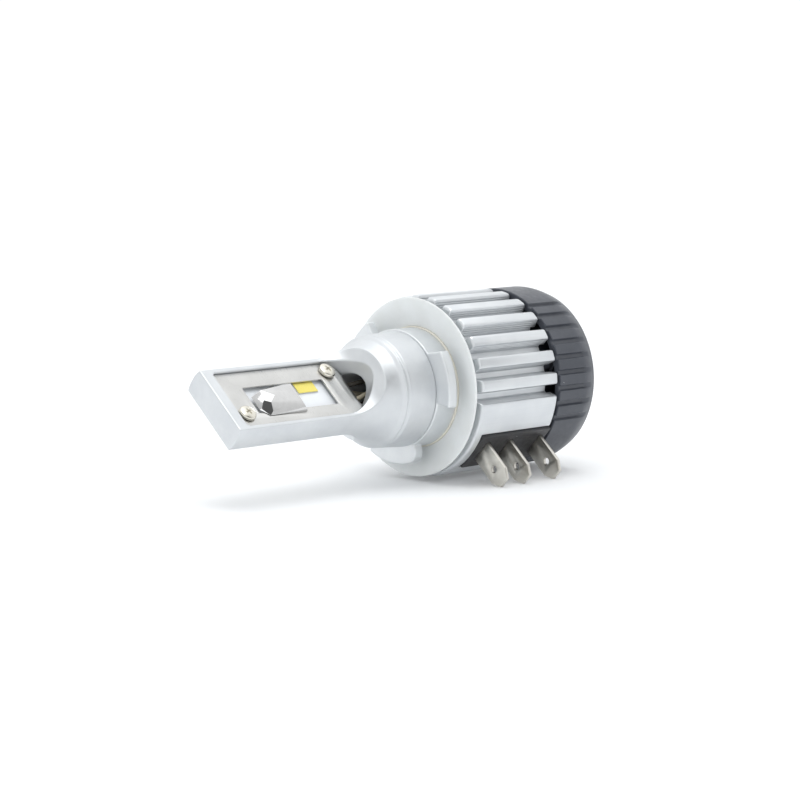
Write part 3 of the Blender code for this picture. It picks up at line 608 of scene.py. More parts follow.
def moulded(name, light, dark, rough, dusty=False):
    """Moulded plastic with a fine grain, and on request a few specks of dust."""
    look = Look(name, IOR=1.5)
    clouds = look.noise(4.0, 3)
    base = look.mottled(clouds, light, dark)
    if dusty:
        base = look.blended(look.dots(3.4, 0.028), base, (0.7, 0.7, 0.72))
    look.colour(base)
    look.roughness(look.noise(0.9, 3), *rough)
    look.bumped(look.noise(0.2, 2), 0.12, 0.02)
    return look.material


def phosphor():
    """Matt yellow powder layer of a light chip."""
    look = Look("yellow_phosphor", IOR=1.45)
    grain = look.noise(0.12, 2)
    look.colour(look.mottled(grain, (0.93, 0.83, 0.24), (0.86, 0.72, 0.12), 0.3, 0.7))
    look.roughness(look.noise(0.5, 2), 0.45, 0.6)
    look.bumped(grain, 0.15, 0.02)
    return look.material


ALUMINIUM = cast_metal("blasted_aluminium", (0.70, 0.72, 0.735), (0.66, 0.68, 0.70))
# the collar's own blasted metal, painted lighter than the body's to offset the shade between its lugs and the
# seal
COLLAR_METAL_LIGHTENED = cast_metal("blasted_collar_painted_light", (0.78, 0.80, 0.81), (0.74, 0.76, 0.775))
FINS = milled_metal()
PLATE = brushed_plate()
HOOD = satin_nickel("polished_hood", (0.66, 0.655, 0.65), (0.62, 0.615, 0.61), (0.1, 0.16))
# a near-white copy of the hood's metal for its facets towards the tip: painted highlight
HOOD_FACET_HIGHLIGHT = satin_nickel("facets_painted_highlight", (0.95, 0.945, 0.94), (0.90, 0.895, 0.89), (0.06, 0.1))
SCREW = satin_nickel("screw_nickel", (0.80, 0.77, 0.69), (0.66, 0.63, 0.55), (0.16, 0.3))
BLADES = blade_plating()
SILICONE = silicone()
# tan that stands for the hub's shade seen through the milky seal: painted shade
SLEEVE_SHADE = moulded("sleeve_painted_shade", (0.84, 0.81, 0.72), (0.78, 0.75, 0.66), (0.4, 0.55))
CAP_PLASTIC = moulded("cap_plastic", (0.066, 0.072, 0.088), (0.052, 0.058, 0.072), (0.3, 0.42), dusty=True)
PLUG_PLASTIC = moulded("plug_plastic", (0.035, 0.035, 0.038), (0.024, 0.024, 0.027), (0.42, 0.55),
                       dusty=True)
WHITE_BOARD = moulded("white_board", (0.90, 0.93, 0.96), (0.87, 0.90, 0.935), (0.3, 0.42))
CERAMIC = moulded("chip_ceramic", (0.80, 0.80, 0.78), (0.74, 0.74, 0.72), (0.35, 0.5))
PHOSPHOR = phosphor()
WIRE_DARK = moulded("wire_dark", (0.05, 0.043, 0.035), (0.03, 0.026, 0.022), (0.35, 0.5))
WIRE_TAN = moulded("wire_tan", (0.55, 0.50, 0.38), (0.42, 0.38, 0.28), (0.35, 0.5))
GREEN_BOARD = moulded("green_board", (0.03, 0.17, 0.07), (0.02, 0.12, 0.05), (0.3, 0.42))
FERRITE = moulded("ferrite", (0.075, 0.075, 0.075), (0.05, 0.05, 0.052), (0.5, 0.65))
COPPER = satin_nickel("copper_winding", (0.78, 0.40, 0.20), (0.62, 0.28, 0.13))
BRASS = satin_nickel("machined_brass", (0.78, 0.62, 0.30), (0.66, 0.50, 0.22))
STEEL = satin_nickel("ground_steel", (0.66, 0.66, 0.67), (0.56, 0.56, 0.57))
CAN = satin_nickel("capacitor_can", (0.80, 0.80, 0.81), (0.70, 0.70, 0.71))


# ---------------- lamp body
def lamp_profile():
    """Outer shape of the casting before the flats are cut: tip, flare, neck and press stub."""
    rim_radius = NECK_RADIUS - NECK_CHAMFER
    rim_top = NECK_RIM + NECK_CHAMFER
    profile = [(0, BLADE_TIP), (BLADE_ROUND, BLADE_TIP), (BLADE_ROUND, FLARE_END)]
    flare_steps = 24
    for i in range(1, flare_steps + 1):
        share = i / flare_steps
        height = FLARE_END + (rim_top - FLARE_END) * share
        profile.append((BLADE_ROUND + (rim_radius - BLADE_ROUND) * share ** 1.8, height))
    profile.append((NECK_RADIUS, NECK_RIM))
    groove_floor = NECK_RADIUS - NECK_GROOVE
    groove_radii = (NECK_RADIUS, groove_floor, groove_floor, NECK_RADIUS + 0.03 * MM)
    profile += [(radius, NECK_RIM - behind) for radius, behind in zip(groove_radii, NECK_GROOVE_EDGES)]
    profile += [(NECK_BASE_RADIUS, COLLAR_FRONT + SEAM), (STUB_RADIUS, COLLAR_FRONT + SEAM),
                (STUB_RADIUS, SINK_WALL_REAR), (0, SINK_WALL_REAR)]
    return profile


def flats_outline():
    """Side view of the blade's two flat faces, climbing in an arc to the shoulder."""
    top = BLADE_HALF_THICKNESS
    margin = 2 * MM
    wide = NECK_RADIUS + margin
    climb = arc((FLAT_END, top + CLIMB_RADIUS), CLIMB_RADIUS, 270, 180, 24)
    side = [(BLADE_TIP + margin, top)] + climb + [(climb[-1][0], wide), (SINK_WALL_REAR - margin, wide)]
    return side + [(z, -x) for z, x in reversed(side)]


def make_lamp_body():
    """Casting with flat faces, a pocket in each, and the wires' bore."""
    body = turned("lamp_casting", lamp_profile(), ROUND_STEPS)
    flats = slab("flats", [flats_outline()], -NECK_RADIUS * 2, NECK_RADIUS * 2, FACING_Y)
    combine(body, [flats], "INTERSECT")
    outline = slot_outline(POCKET_HALF_WIDTH, POCKET_TIP, POCKET_ROUND_CENTRE, POCKET_CORNER)
    pocket = slab("pocket", [outline], WEB_HALF, NECK_RADIUS * 1.5, FACING_X)
    pocket_back = slab("pocket_back", [outline], -NECK_RADIUS * 1.5, -WEB_HALF, FACING_X)
    bore = rod("wire_bore", WIRE_BORE, SINK_WALL_REAR - MM, WIRE_BORE_END)
    combine(body, [pocket, pocket_back, bore])
    recast(body, 0.17 * MM, 2)
    show(body, ALUMINIUM, ["lamp_body"], smooth_angle=0)


# ---------------- collar and seal
def make_lock_collar():
    """Hub with three lugs that turn into the lamp housing."""
    bore = STUB_RADIUS + FIT_GAP
    parts = [ring("hub", bore, COLLAR_RADIUS, -SEAL_DEPTH, COLLAR_FRONT, edge=0.12 * MM)]
    low = COLLAR_FRONT - LUG_THICKNESS
    for outer_arc, root_arc, rounding in zip(LUG_ARCS, LUG_ROOTS, LUG_ROUNDS):
        root = rim_points(COLLAR_RADIUS, *root_arc)
        inside = rim_points(COLLAR_RADIUS - MM, *root_arc)
        outer = rim_points(LUG_RADIUS, *outer_arc)
        if rounding:
            outer = rim_points(LUG_RADIUS, outer_arc[0], root_arc[1] - rounding)
            outer += [lug_end(root_arc[1], rounding, turn) for turn in (20, 40, 60, 75)]
        outline = outer + [root[-1]] + inside[::-1] + [root[0]]
        outline = filleted(outline, 0.5 * MM, 4, sharpest=math.radians(40))
        parts.append(slab("lug", [outline], low, COLLAR_FRONT, edge=0.3 * MM))
    collar = join("lugged_collar", parts)
    recast(collar, 0.13 * MM, 1)
    show(collar, COLLAR_METAL_LIGHTENED, ["lock_collar"], smooth_angle=0)


def lug_end(angle, rounding, turn):
    """A point on a lug's rounded end, from its outer arc down to its root."""
    drop = (LUG_RADIUS - COLLAR_RADIUS) * (1 - math.cos(math.radians(turn)))
    return round_about(LUG_RADIUS - drop, angle - rounding * (1 - math.sin(math.radians(turn))))


def rim_points(radius, start, end):
    steps = 24
    return [round_about(radius, start + (end - start) * i / steps) for i in range(steps + 1)]


def make_seal_ring():
    """Soft lip washer, a thin cone up to a flat lip, with a thin sleeve round the hub tinted tan as painted
    shade.
    """
    inner = COLLAR_RADIUS + FIT_GAP
    profile = [(SEAL_FLAT, 0), (SEAL_RADIUS, 0), (SEAL_RADIUS, -SEAL_SHEET), (inner, -SEAL_DEPTH),
               (inner, SEAL_SHEET - SEAL_DEPTH)]
    seal = turned("soft_seal", filleted(profile, 0.15 * MM, 4), ROUND_STEPS, closed=True)
    show(seal, SILICONE, ["seal_ring"], smooth_angle=60)
    sleeve = ring("hub_sleeve", COLLAR_RADIUS + 0.02 * MM, inner - 0.02 * MM, -SEAL_DEPTH, -0.8 * MM,
                  edge=0.05 * MM)
    show(sleeve, SLEEVE_SHADE, [], smooth_angle=60)


# ---------------- what is in the pockets
def bend_plate(mesh):
    """Bends the plate's neck end down over the wires."""
    neutral = PLATE_BEND_RADIUS - (PLATE_LAYER[1] - PLATE_LAYER[0]) / 2
    centre_x = PLATE_LAYER[1] - PLATE_BEND_RADIUS
    for vertex in mesh.vertices:
        past = PLATE_BEND - vertex.co.z
        if past <= 0:
            continue
        angle = min(past / neutral, PLATE_BEND_ANGLE)
        radius = vertex.co.x - centre_x
        straight = past - angle * neutral
        vertex.co.z = PLATE_BEND - radius * math.sin(angle) - straight * math.cos(angle)
        vertex.co.x = centre_x + radius * math.cos(angle) - straight * math.sin(angle)


def cover_screw_holes():
    return [circle(SCREW_HOLE_RADIUS, (y, z), 32) for z, y in COVER_SCREWS]


def make_cover_plate(side, turn):
    """Steel plate with a light window, bent down over the wires at the neck."""
    half = POCKET_HALF_WIDTH - THIN_GAP
    end = PLATE_BEND - (PLATE_BEND_RADIUS - 0.2 * MM) * PLATE_BEND_ANGLE
    span = math.degrees(math.acos((POCKET_ROUND_CENTRE - end) / half))
    rim = arc((half - 0.7 * MM, POCKET_TIP - THIN_GAP - 0.7 * MM), 0.7 * MM, 0, 90, 5)
    rim += arc((0.7 * MM - half, POCKET_TIP - THIN_GAP - 0.7 * MM), 0.7 * MM, 90, 180, 5)
    rim += arc((0, POCKET_ROUND_CENTRE), half, 180, 270 - span, 10)
    rim += arc((0, POCKET_ROUND_CENTRE), half, 270 + span, 360, 10)
    window = filleted([(WINDOW_Y[0], WINDOW_Z[0]), (WINDOW_Y[1], WINDOW_Z[0]),
                       (WINDOW_Y[1], WINDOW_Z[1]), (WINDOW_Y[0], WINDOW_Z[1])], 0.25 * MM)
    plate = slab("window_plate_" + side, [rim, window] + cover_screw_holes(), *PLATE_LAYER, FACING_X,
                 edge=0.11 * MM)
    work = bmesh.new()
    work.from_mesh(plate.data)
    for i in range(14):
        bmesh.ops.bisect_plane(work, geom=work.verts[:] + work.edges[:] + work.faces[:],
                               plane_co=(0, 0, PLATE_BEND - i * 0.13 * MM), plane_no=(0, 0, 1), dist=1e-7)
    work.to_mesh(plate.data)
    work.free()
    bend_plate(plate.data)
    show(moved(plate, turn), PLATE, ["cover_plate_" + side], smooth_angle=30)


def make_led_board(side, turn):
    half = POCKET_HALF_WIDTH - BOARD_EDGE_GAP
    outline = [(-half, BOARD_END), (half, BOARD_END), (half, POCKET_TIP - FIT_GAP),
               (-half, POCKET_TIP - FIT_GAP)]
    loops = [filleted(outline, 0.5 * MM)] + cover_screw_holes()
    board = slab("lamp_board_" + side, loops, *BOARD_LAYER, FACING_X, edge=0.04 * MM)
    show(moved(board, turn), WHITE_BOARD, ["led_board_" + side])


def make_chip(name, node, place, turn):
    """Phosphor on a white ceramic base."""
    (z_low, z_high), (y_low, y_high) = place
    low, high = CHIP_LAYER
    middle = low + 0.12 * MM
    base = box("base", (low, y_low, z_low), (middle, y_high, z_high), 0.03 * MM)
    top = box("top", (middle + 0.005 * MM, y_low + 0.05 * MM, z_low + 0.05 * MM),
              (high, y_high - 0.05 * MM, z_high - 0.05 * MM), 0.04 * MM)
    base_count = len(base.data.polygons)
    chip = join(name, [base, top])
    for index, face in enumerate(chip.data.polygons):
        face.material_index = 1 if index >= base_count else 0
    show(moved(chip, turn), [CERAMIC, PHOSPHOR], [node])


# Hood: height of its crown, width across, and its corners as (out from the plate, across, along)
HOOD_CROWN = (1.7, -1.25, 35.0)
HOOD_FEET = ((0, 2.45, 33.1), (0, -4.85, 33.6))
HOOD_FACETS_FROM = 40.8 * MM
HOOD_CORNERS = (
    (0, 2.2, 38.6), (0.75, 1.3, 39.4), (1.65, -1.25, 40.7), (1.35, -2.7, 42.4), (0.5, -4.35, 42.5),
    (0, -4.9, 43.2), (0.05, -4.5, 43.6), (0.3, -3.2, 44.7), (0, -3.2, 44.9), (0, -1.9, 44.95),
    (0, 0.2, 44.9), (1.45, 0.5, 43.1), (1.25, -1.9, 43.8),
)


def hood_solid(name, shrink):
    """Half barrel closed towards the tip by flat facets; shrink brings every face inwards."""
    base = PLATE_LAYER[1] + THIN_GAP
    crown, middle, crown_z = HOOD_CROWN
    half = (HOOD_FEET[0][1] - HOOD_FEET[1][1]) / 2
    points = list(HOOD_CORNERS)
    steps = 20
    for i in range(steps + 1):
        turn = math.pi * i / steps
        foot_z = HOOD_FEET[0][2] + (HOOD_FEET[1][2] - HOOD_FEET[0][2]) * i / steps
        rise = math.sin(turn) ** 0.9
        points.append((crown * rise, middle + half * math.cos(turn), foot_z + (crown_z - foot_z) * rise))
    work = bmesh.new()
    for out, side, along in points:
        squeeze = 1 - shrink / (half * MM)
        height = base + out * MM * (1 - shrink / (crown * MM))
        place = Vector((height, (middle + (side - middle) * squeeze) * MM, along * MM))
        place.z += shrink * (-4 if along < 38 else -1)
        work.verts.new(place)
    bmesh.ops.convex_hull(work, input=work.verts)
    bmesh.ops.dissolve_limit(work, angle_limit=math.radians(4), verts=work.verts, edges=work.edges)
    bmesh.ops.recalc_face_normals(work, faces=work.faces)
    return finished(name, work)


def make_glare_hood(side, turn):
    """Hollow hood; its facets towards the tip take a brighter copy of the barrel's metal, a painted
    highlight.
    """
    hood = hood_solid("hood_" + side, 0.0)
    inside = moved(hood_solid("hollow", HOOD_SHEET), Matrix.Translation((-0.1 * MM, 0, 0)))
    combine(hood, [inside])
    edged(hood, 0.04 * MM, 2, 15)
    # facets towards the tip get the brighter metal, which paints their highlight
    for face in hood.data.polygons:
        tipward = face.center.z > HOOD_FACETS_FROM and face.normal.z > 0.02
        face.material_index = 1 if tipward else 0
    show(moved(hood, turn), [HOOD, HOOD_FACET_HIGHLIGHT], ["glare_hood_" + side], smooth_angle=12)


def cross_recess(head_high, radius, depth):
    """Two crossed slots that narrow towards the bottom."""
    arm, half = radius * 0.56, radius * 0.14
    cutters = []
    for number in range(2):
        slot = box("cross", (-arm, -half, head_high - depth), (arm, half, head_high + MM))
        for vertex in slot.data.vertices:
            if vertex.co.z < head_high:
                vertex.co.x *= 0.6
                vertex.co.y *= 0.6
        cutters.append(moved(slot, Matrix.Rotation(math.pi / 2 * number + 0.35, 4, "Z")))
    return cutters


def pan_head(radius, low, high):
    """Profile of a domed screw head, from the axis to its lower edge."""
    points = [(0, high), (radius * 0.45, high - 0.015 * radius), (radius * 0.72, high - 0.07 * radius)]
    points += arc((radius * 0.74, high - 0.36 * radius), radius * 0.26, 75, 0, 6)
    points += [(radius, low + 0.1 * MM), (radius - 0.1 * MM, low)]
    return points


def make_cover_screw(side, number, z, y, turn):
    head_low = PLATE_LAYER[1] + THIN_GAP
    head_high = head_low + SCREW_HEAD_HEIGHT
    profile = pan_head(SCREW_HEAD_RADIUS, head_low, head_high)
    profile += [(SCREW_SHANK_RADIUS, head_low), (SCREW_SHANK_RADIUS, 0), (0, 0)]
    screw = turned(f"pan_screw_{side}_{number}", profile, SMALL_STEPS)
    combine(screw, cross_recess(head_high, SCREW_HEAD_RADIUS, 0.6 * MM))
    edged(screw, 0.05 * MM, 2, 40)
    show(moved(screw, turn @ across(y, z)), SCREW, [f"cover_screw_{side}_{number}"])


def smooth_route(points, steps):
    """A smooth curve through the points, as a list of places along it."""
    ends = [points[0] * 2 - points[1]] + points + [points[-1] * 2 - points[-2]]
    route = []
    for i in range(1, len(ends) - 2):
        for k in range(steps):
            t = k / steps
            a, b, c, d = ends[i - 1:i + 3]
            route.append(0.5 * ((2 * b) + (c - a) * t + (2 * a - 5 * b + 4 * c - d) * t * t
                                + (3 * b - a - 3 * c + d) * t ** 3))
    route.append(points[-1])
    return route


def tube(name, route, radius):
    """A round tube along a route, as a mesh."""
    curve = bpy.data.curves.new(name, "CURVE")
    curve.dimensions = "3D"
    curve.bevel_depth = radius
    curve.bevel_resolution = 5
    curve.use_fill_caps = True
    spline = curve.splines.new("POLY")
    spline.points.add(len(route) - 1)
    for point, place in zip(spline.points, route):
        point.co = (*place, 1)
    return new_piece(name, drawn(name, curve))


def make_wire(side, number, y, turn, look):
    """Supply wire from inside the stub up to the board's end."""
    points = ((1.6, y, -5.2), (2.2, y, 1.0), (2.4, y, 9.0), (1.7, y * 1.1, 14.2), (0.72, y * 1.3, 16.6),
              (0.6, y * 1.4, 18.2), (1.2, y * 1.5, 19.6), (1.27, y * 1.6, 21.3))
    route = smooth_route([Vector(point) * MM for point in points], 8)
    wire = tube(f"lead_{side}_{number}", route, WIRE_RADIUS)
    show(moved(wire, turn), look, [f"wire_{side}_{number}"], smooth_angle=60)


def make_lamp_side(side, turn):
    make_cover_plate(side, turn)
    make_led_board(side, turn)
    make_chip("day_chip_" + side, "led_day_" + side, DAY_CHIP, turn)
    make_chip("main_chip_" + side, "led_main_" + side, MAIN_CHIP, turn)
    make_glare_hood(side, turn)
    for number, (z, y) in enumerate(COVER_SCREWS, 1):
        make_cover_screw(side, number, z, y, turn)
    make_wire(side, 1, 1.4, turn, WIRE_DARK)
    make_wire(side, 2, -1.4, turn, WIRE_TAN)


# ---------------- heat sink
def groove_wall(top, edge):
    """One side of a groove, from the fin's top down to the floor: radius, and way in from the side."""
    points = [(top, -edge), (top - 0.3 * edge, -0.3 * edge), (top - edge, 0)]
    height = (top - edge - GROOVE_RADIUS - 0.3 * MM) / SERRATIONS
    for i in range(SERRATIONS):
        middle = top - edge - height * (i + 0.7)
        way = SERRATION_SLOPE * (i + 0.7)
        points += [(middle + SERRATION_HALF, way), (middle, way - SERRATION_DEPTH),
                   (middle - SERRATION_HALF, way + 0.02 * MM)]
    points.append((GROOVE_RADIUS, SERRATION_SLOPE * SERRATIONS + 0.2 * MM))
    return points


def fin_outline(top, edge):
    """Cross-section of the heat sink out to a radius: smooth lands beside the plug, then fins all round."""
    pitch = (360 - 2 * LAND_END_ANGLE) / (2 * FIN_COUNT + 1)
    wall = [(radius, math.degrees(way / GROOVE_RADIUS)) for radius, way in groove_wall(top, edge)]
    rounding = -wall[0][1]
    points = []
    land_steps = 24
    reach = LAND_END_ANGLE - rounding
    for i in range(1, land_steps):
        points.append(round_about(top, -reach + 2 * reach * i / land_steps))
    for fin in range(FIN_COUNT + 1):
        start = LAND_END_ANGLE + 2 * pitch * fin
        end = start + pitch
        points += [round_about(radius, start + way) for radius, way in wall]
        points += [round_about(radius, end - way) for radius, way in reversed(wall)]
        if fin < FIN_COUNT:
            points += [round_about(top, end + pitch * share) for share in (0.35, 0.65)]
    return points


def make_heatsink():
    """Finned tube with a cavity for the driver, vents at the rear and a slot for the plug."""
    edge = 0.4 * MM
    sections = (
        (SINK_FRONT, FIN_RADIUS - 0.55 * MM, edge),
        (SINK_FRONT - 0.12 * MM, FIN_RADIUS - 0.28 * MM, edge),
        (SINK_FRONT - 0.32 * MM, FIN_RADIUS - 0.09 * MM, edge),
        (SINK_FRONT - 0.6 * MM, FIN_RADIUS, edge),
        (SINK_REAR + 0.6 * MM, FIN_RADIUS, edge),
        (SINK_REAR + 0.2 * MM, FIN_RADIUS - 0.15 * MM, edge),
        (SINK_REAR, FIN_RADIUS - 0.5 * MM, edge),
    )
    sink = lofted("finned_sink", [(z, fin_outline(top, rim)) for z, top, rim in sections])
    margin = MM
    far = FIN_RADIUS + 2 * MM
    cavity = rod("cavity", CAVITY_RADIUS, SINK_REAR - margin, SINK_WALL_REAR, ROUND_STEPS)
    stub_hole = rod("stub_hole", STUB_RADIUS + FIT_GAP, SINK_WALL_REAR - margin, SINK_FRONT + margin,
                    ROUND_STEPS)
    vents = rod("vents", GROOVE_RADIUS + 0.5 * MM, SINK_REAR - margin, CORE_REAR, ROUND_STEPS)
    half = plug_half_width() + FIT_GAP
    slot = box("plug_slot", (-half, -far, SINK_REAR - margin),
               (half, -CAVITY_RADIUS * 0.7, PLUG_FRONT + FIT_GAP))
    combine(sink, [cavity, stub_hole, vents, slot])
    show(sink, FINS, ["heatsink"], smooth_angle=25, place=REAR)


def plug_half_width():
    return FIN_RADIUS * math.sin(math.radians(PLUG_HALF_ANGLE))


# ---------------- plug
def make_connector_block():
    half = plug_half_width()
    low = (-half, -PLUG_FACE, PLUG_REAR)
    block = box("plug_block", low, (half, -PLUG_INNER, PLUG_FRONT))
    slots = []
    for z in BLADE_PLACES:
        reach = PLUG_BLADE_THICKNESS / 2 + THIN_GAP
        wide = PLUG_BLADE_HALF_WIDTH + THIN_GAP
        low = (-wide, -PLUG_FACE - MM, z - reach)
        slots.append(box("blade_slot", low, (wide, -PLUG_INNER + MM, z + reach)))
    combine(block, slots)
    edged(block, 0.15 * MM, 2, 40)
    show(block, PLUG_PLASTIC, ["connector_block"], place=REAR)


def make_terminal(number, z):
    tip = -PLUG_BLADE_TIP
    wide, cut = PLUG_BLADE_HALF_WIDTH, PLUG_BLADE_CHAMFER
    outline = [(-wide, -PLUG_BLADE_ROOT), (-wide, tip + cut * 1.6), (cut - wide, tip), (wide - cut, tip),
               (wide, tip + cut * 1.6), (wide, -PLUG_BLADE_ROOT)]
    hole = circle(PLUG_BLADE_HOLE, (0, tip + PLUG_BLADE_HOLE_FROM_TIP), 32)
    half = PLUG_BLADE_THICKNESS / 2
    blade = slab(f"plug_blade_{number}", [filleted(outline, 0.15 * MM), hole], z - half, z + half,
                 edge=0.12 * MM)
    show(blade, BLADES, [f"terminal_{number}"], smooth_angle=30, place=REAR)


# ---------------- rear cap
def cap_outline(limit, depth):
    """Cross-section of the cap out to a radius: three smooth lands, and shallow grooves between them."""
    points = []
    pitch = CAP_GROOVE_ANGLE + CAP_LAND_ANGLE
    group = CAP_GROOVES_PER_THIRD * pitch - CAP_LAND_ANGLE
    half_land = (120 - group) / 2
    floor = limit - depth
    for third in range(3):
        centre = 120 * third
        land_steps = 20
        for i in range(land_steps + 1):
            points.append(round_about(limit, centre - half_land + 2 * half_land * i / land_steps))
        angle = centre + half_land
        for groove in range(CAP_GROOVES_PER_THIRD):
            for share, drop in CAP_GROOVE_SHAPE:
                radius = limit - (limit - floor) * drop
                points.append(round_about(radius, angle + CAP_GROOVE_ANGLE * share))
            if groove < CAP_GROOVES_PER_THIRD - 1:
                for share in (0.02, 0.33, 0.67, 0.98):
                    points.append(round_about(limit, angle + CAP_GROOVE_ANGLE + CAP_LAND_ANGLE * share))
            angle += pitch
    return points


def cap_sections():
    """Height, radius and groove depth of each section of the cap's shell, from the front edge to the rear."""
    corner = 0.9 * MM
    sections = [(CAP_FRONT, CAP_RADIUS - 0.15 * MM, CAP_GROOVE_DEPTH),
                (CAP_FRONT - 0.15 * MM, CAP_RADIUS, CAP_GROOVE_DEPTH),
                (CAP_BEVEL + 0.6 * MM, CAP_RADIUS, CAP_GROOVE_DEPTH)]
    steps = 6
    end = CAP_REAR + corner
    for i in range(steps + 1):
        share = i / steps
        radius = CAP_RADIUS - (CAP_RADIUS - CAP_REAR_RADIUS) * (0.35 * share + 0.65 * share ** 2)
        depth = CAP_GROOVE_DEPTH * max(0.0, 1 - 1.6 * share)
        sections.append((CAP_BEVEL + (end - CAP_BEVEL) * share, radius, depth + 0.001 * MM))
    for angle in (30, 60, 90):
        turn = math.radians(angle)
        sections.append((end - corner * math.sin(turn), CAP_REAR_RADIUS - corner * (1 - math.cos(turn)),
                         0.001 * MM))
    return sections


def grille_cutters():
    """Openings of the rear grille: two rings of air slots between six spokes."""
    cutters = []
    low, high = CAP_REAR - MM, CAP_REAR + CAP_WALL + MM
    for inner, outer in ((GRILLE_HUB_RADIUS, GRILLE_RING[0]), (GRILLE_RING[1], GRILLE_RADIUS)):
        for i in range(GRILLE_SPOKES):
            centre = 360 * i / GRILLE_SPOKES + 30
            loop = []
            for radius, ends in ((outer, (-1, 1)), (inner, (1, -1))):
                reach = 180 / GRILLE_SPOKES - math.degrees(GRILLE_SPOKE_HALF / radius)
                for k in range(17):
                    share = ends[0] + (ends[1] - ends[0]) * k / 16
                    loop.append(round_about(radius, centre + reach * share))
            cutters.append(slab("air_slot", [filleted(loop, 0.35 * MM, 3, sharpest=0.9)], low, high))
    return cutters


def make_rear_cap():
    """Grooved cap with a rear grille and three screw bosses."""
    sections = [(height, cap_outline(limit, depth)) for height, limit, depth in cap_sections()]
    cap = lofted("grooved_cap", sections)
    inside = rod("inside", CAP_RADIUS - CAP_WALL, CAP_REAR + CAP_WALL, CAP_FRONT + MM, ROUND_STEPS)
    seats = []
    for angle in CAP_SCREW_ANGLES:
        screw_way = rod("screw_way", CAP_BOSS_BORE + THIN_GAP, CAP_REAR - MM, CAP_FRONT)
        head_seat = rod("head_seat", 2.0 * MM, CAP_REAR - MM, CAP_REAR + 1.1 * MM)
        seats += [at_cap_screw(screw_way, angle), at_cap_screw(head_seat, angle)]
    combine(cap, [inside] + grille_cutters() + seats)
    boss_low = CAP_REAR + CAP_WALL - 0.3 * MM
    bosses = [at_cap_screw(ring("boss", CAP_BOSS_BORE, CAP_BOSS_RADIUS, boss_low, CORE_REAR - FIT_GAP,
                                SMALL_STEPS), angle) for angle in CAP_SCREW_ANGLES]
    combine(cap, bosses, "UNION")
    show(cap, CAP_PLASTIC, ["rear_cap"], smooth_angle=32, place=REAR)


def make_cap_screw(number, angle):
    """Long screw from the cap's rear face into the heat sink."""
    head_rear = CAP_REAR + 0.15 * MM
    head_front = CAP_REAR + 0.95 * MM
    end = CORE_REAR + 4.4 * MM
    profile = pan_head(1.7 * MM, 0, head_front - head_rear)
    profile += [(0.75 * MM, 0), (0.75 * MM, head_front - end), (0, head_front - end)]
    screw = turned(f"long_screw_{number}", profile, SMALL_STEPS)
    combine(screw, cross_recess(head_front - head_rear, 1.7 * MM, 0.5 * MM))
    edged(screw, 0.05 * MM, 2, 40)
    moved(screw, Matrix.Translation((0, 0, head_front)) @ Matrix.Rotation(math.pi, 4, "X"))
    show(at_cap_screw(screw, angle), SCREW, [f"cap_screw_{number}"], place=REAR)


# ---------------- fan
def make_fan_rotor():
    """Cup with nine swept blades."""
    wall = 0.5 * MM
    floor = ROTOR_REAR + 0.6 * MM
    profile = filleted([(0, floor), (ROTOR_RADIUS - wall, floor), (ROTOR_RADIUS - wall, ROTOR_FRONT),
                        (ROTOR_RADIUS, ROTOR_FRONT), (ROTOR_RADIUS, ROTOR_REAR), (0, ROTOR_REAR)],
                       0.4 * MM, 4, closed=False)
    rotor = turned("fan_wheel", profile, ROUND_STEPS)
    combine(rotor, [impeller_blades()], "UNION")
    show(rotor, CAP_PLASTIC, ["fan_rotor"], "impeller", 35, REAR)


def impeller_blades():
    """All blades: each a pitched sheet that sweeps back towards its tip."""
    work = bmesh.new()
    radial_steps, chord_steps = 8, 10
    inner = ROTOR_RADIUS - 0.3 * MM
    height = (ROTOR_FRONT - ROTOR_REAR) - 0.8 * MM
    middle = (ROTOR_FRONT + ROTOR_REAR) / 2
    for blade in range(IMPELLER_BLADES):
        grid = []
        for i in range(radial_steps + 1):
            share = i / radial_steps
            radius = inner + (IMPELLER_RADIUS - inner) * share
            row = []
            for k in range(chord_steps + 1):
                along = k / chord_steps - 0.5
                curve = 5 * (0.25 - along * along)
                start = 360 * blade / IMPELLER_BLADES
                angle = math.radians(start + 14 * share - (44 - 8 * share) * along + curve)
                row.append(work.verts.new((radius * math.cos(angle), radius * math.sin(angle),
                                           middle + height * along * (1 - 0.12 * share))))
            grid.append(row)
        for near, far in zip(grid, grid[1:]):
            for k in range(chord_steps):
                work.faces.new((near[k], near[k + 1], far[k + 1], far[k]))
    bmesh.ops.recalc_face_normals(work, faces=work.faces)
    blades = finished("impeller_blades", work)
    sheet = blades.modifiers.new("sheet", "SOLIDIFY")
    sheet.thickness = 0.5 * MM
    sheet.offset = 0
    settle(blades)
    cleaned(blades.data)
    return blades


def dress_cad_nodes():
    """Materials for the CAD nodes that are shown as they are, all of them inside the housing."""
    looks = {
        "driver_board": GREEN_BOARD, "driver_coil": FERRITE, "driver_capacitor": CAN,
        "driver_chip": FERRITE,
        "fan_frame": CAP_PLASTIC, "fan_bush": BRASS, "fan_board": GREEN_BOARD, "fan_stator": COPPER,
        "fan_magnet": FERRITE, "fan_shaft": STEEL,
    }
    for name, look in looks.items():
        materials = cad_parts[name].data.materials
        for index in range(len(materials)):
            materials[index] = look


# ---------------- stage
def make_floor():
    """Pale floor, wide enough that its edge is never seen."""
    look = Look("pale_floor", IOR=1.4)
    look.surface.inputs["Base Color"].default_value = (0.86, 0.87, 0.88, 1)
    look.surface.inputs["Roughness"].default_value = 0.7
    look.surface.inputs["Emission Color"].default_value = (1, 1, 1, 1)
    look.surface.inputs["Emission Strength"].default_value = 0.1
    size = 4.0
    corners = [(-size, -size, 0), (size, -size, 0), (size, size, 0), (-size, size, 0)]
    floor = from_faces("studio_floor", corners, [(0, 1, 2, 3)])
    floor.data.materials.append(look.material)


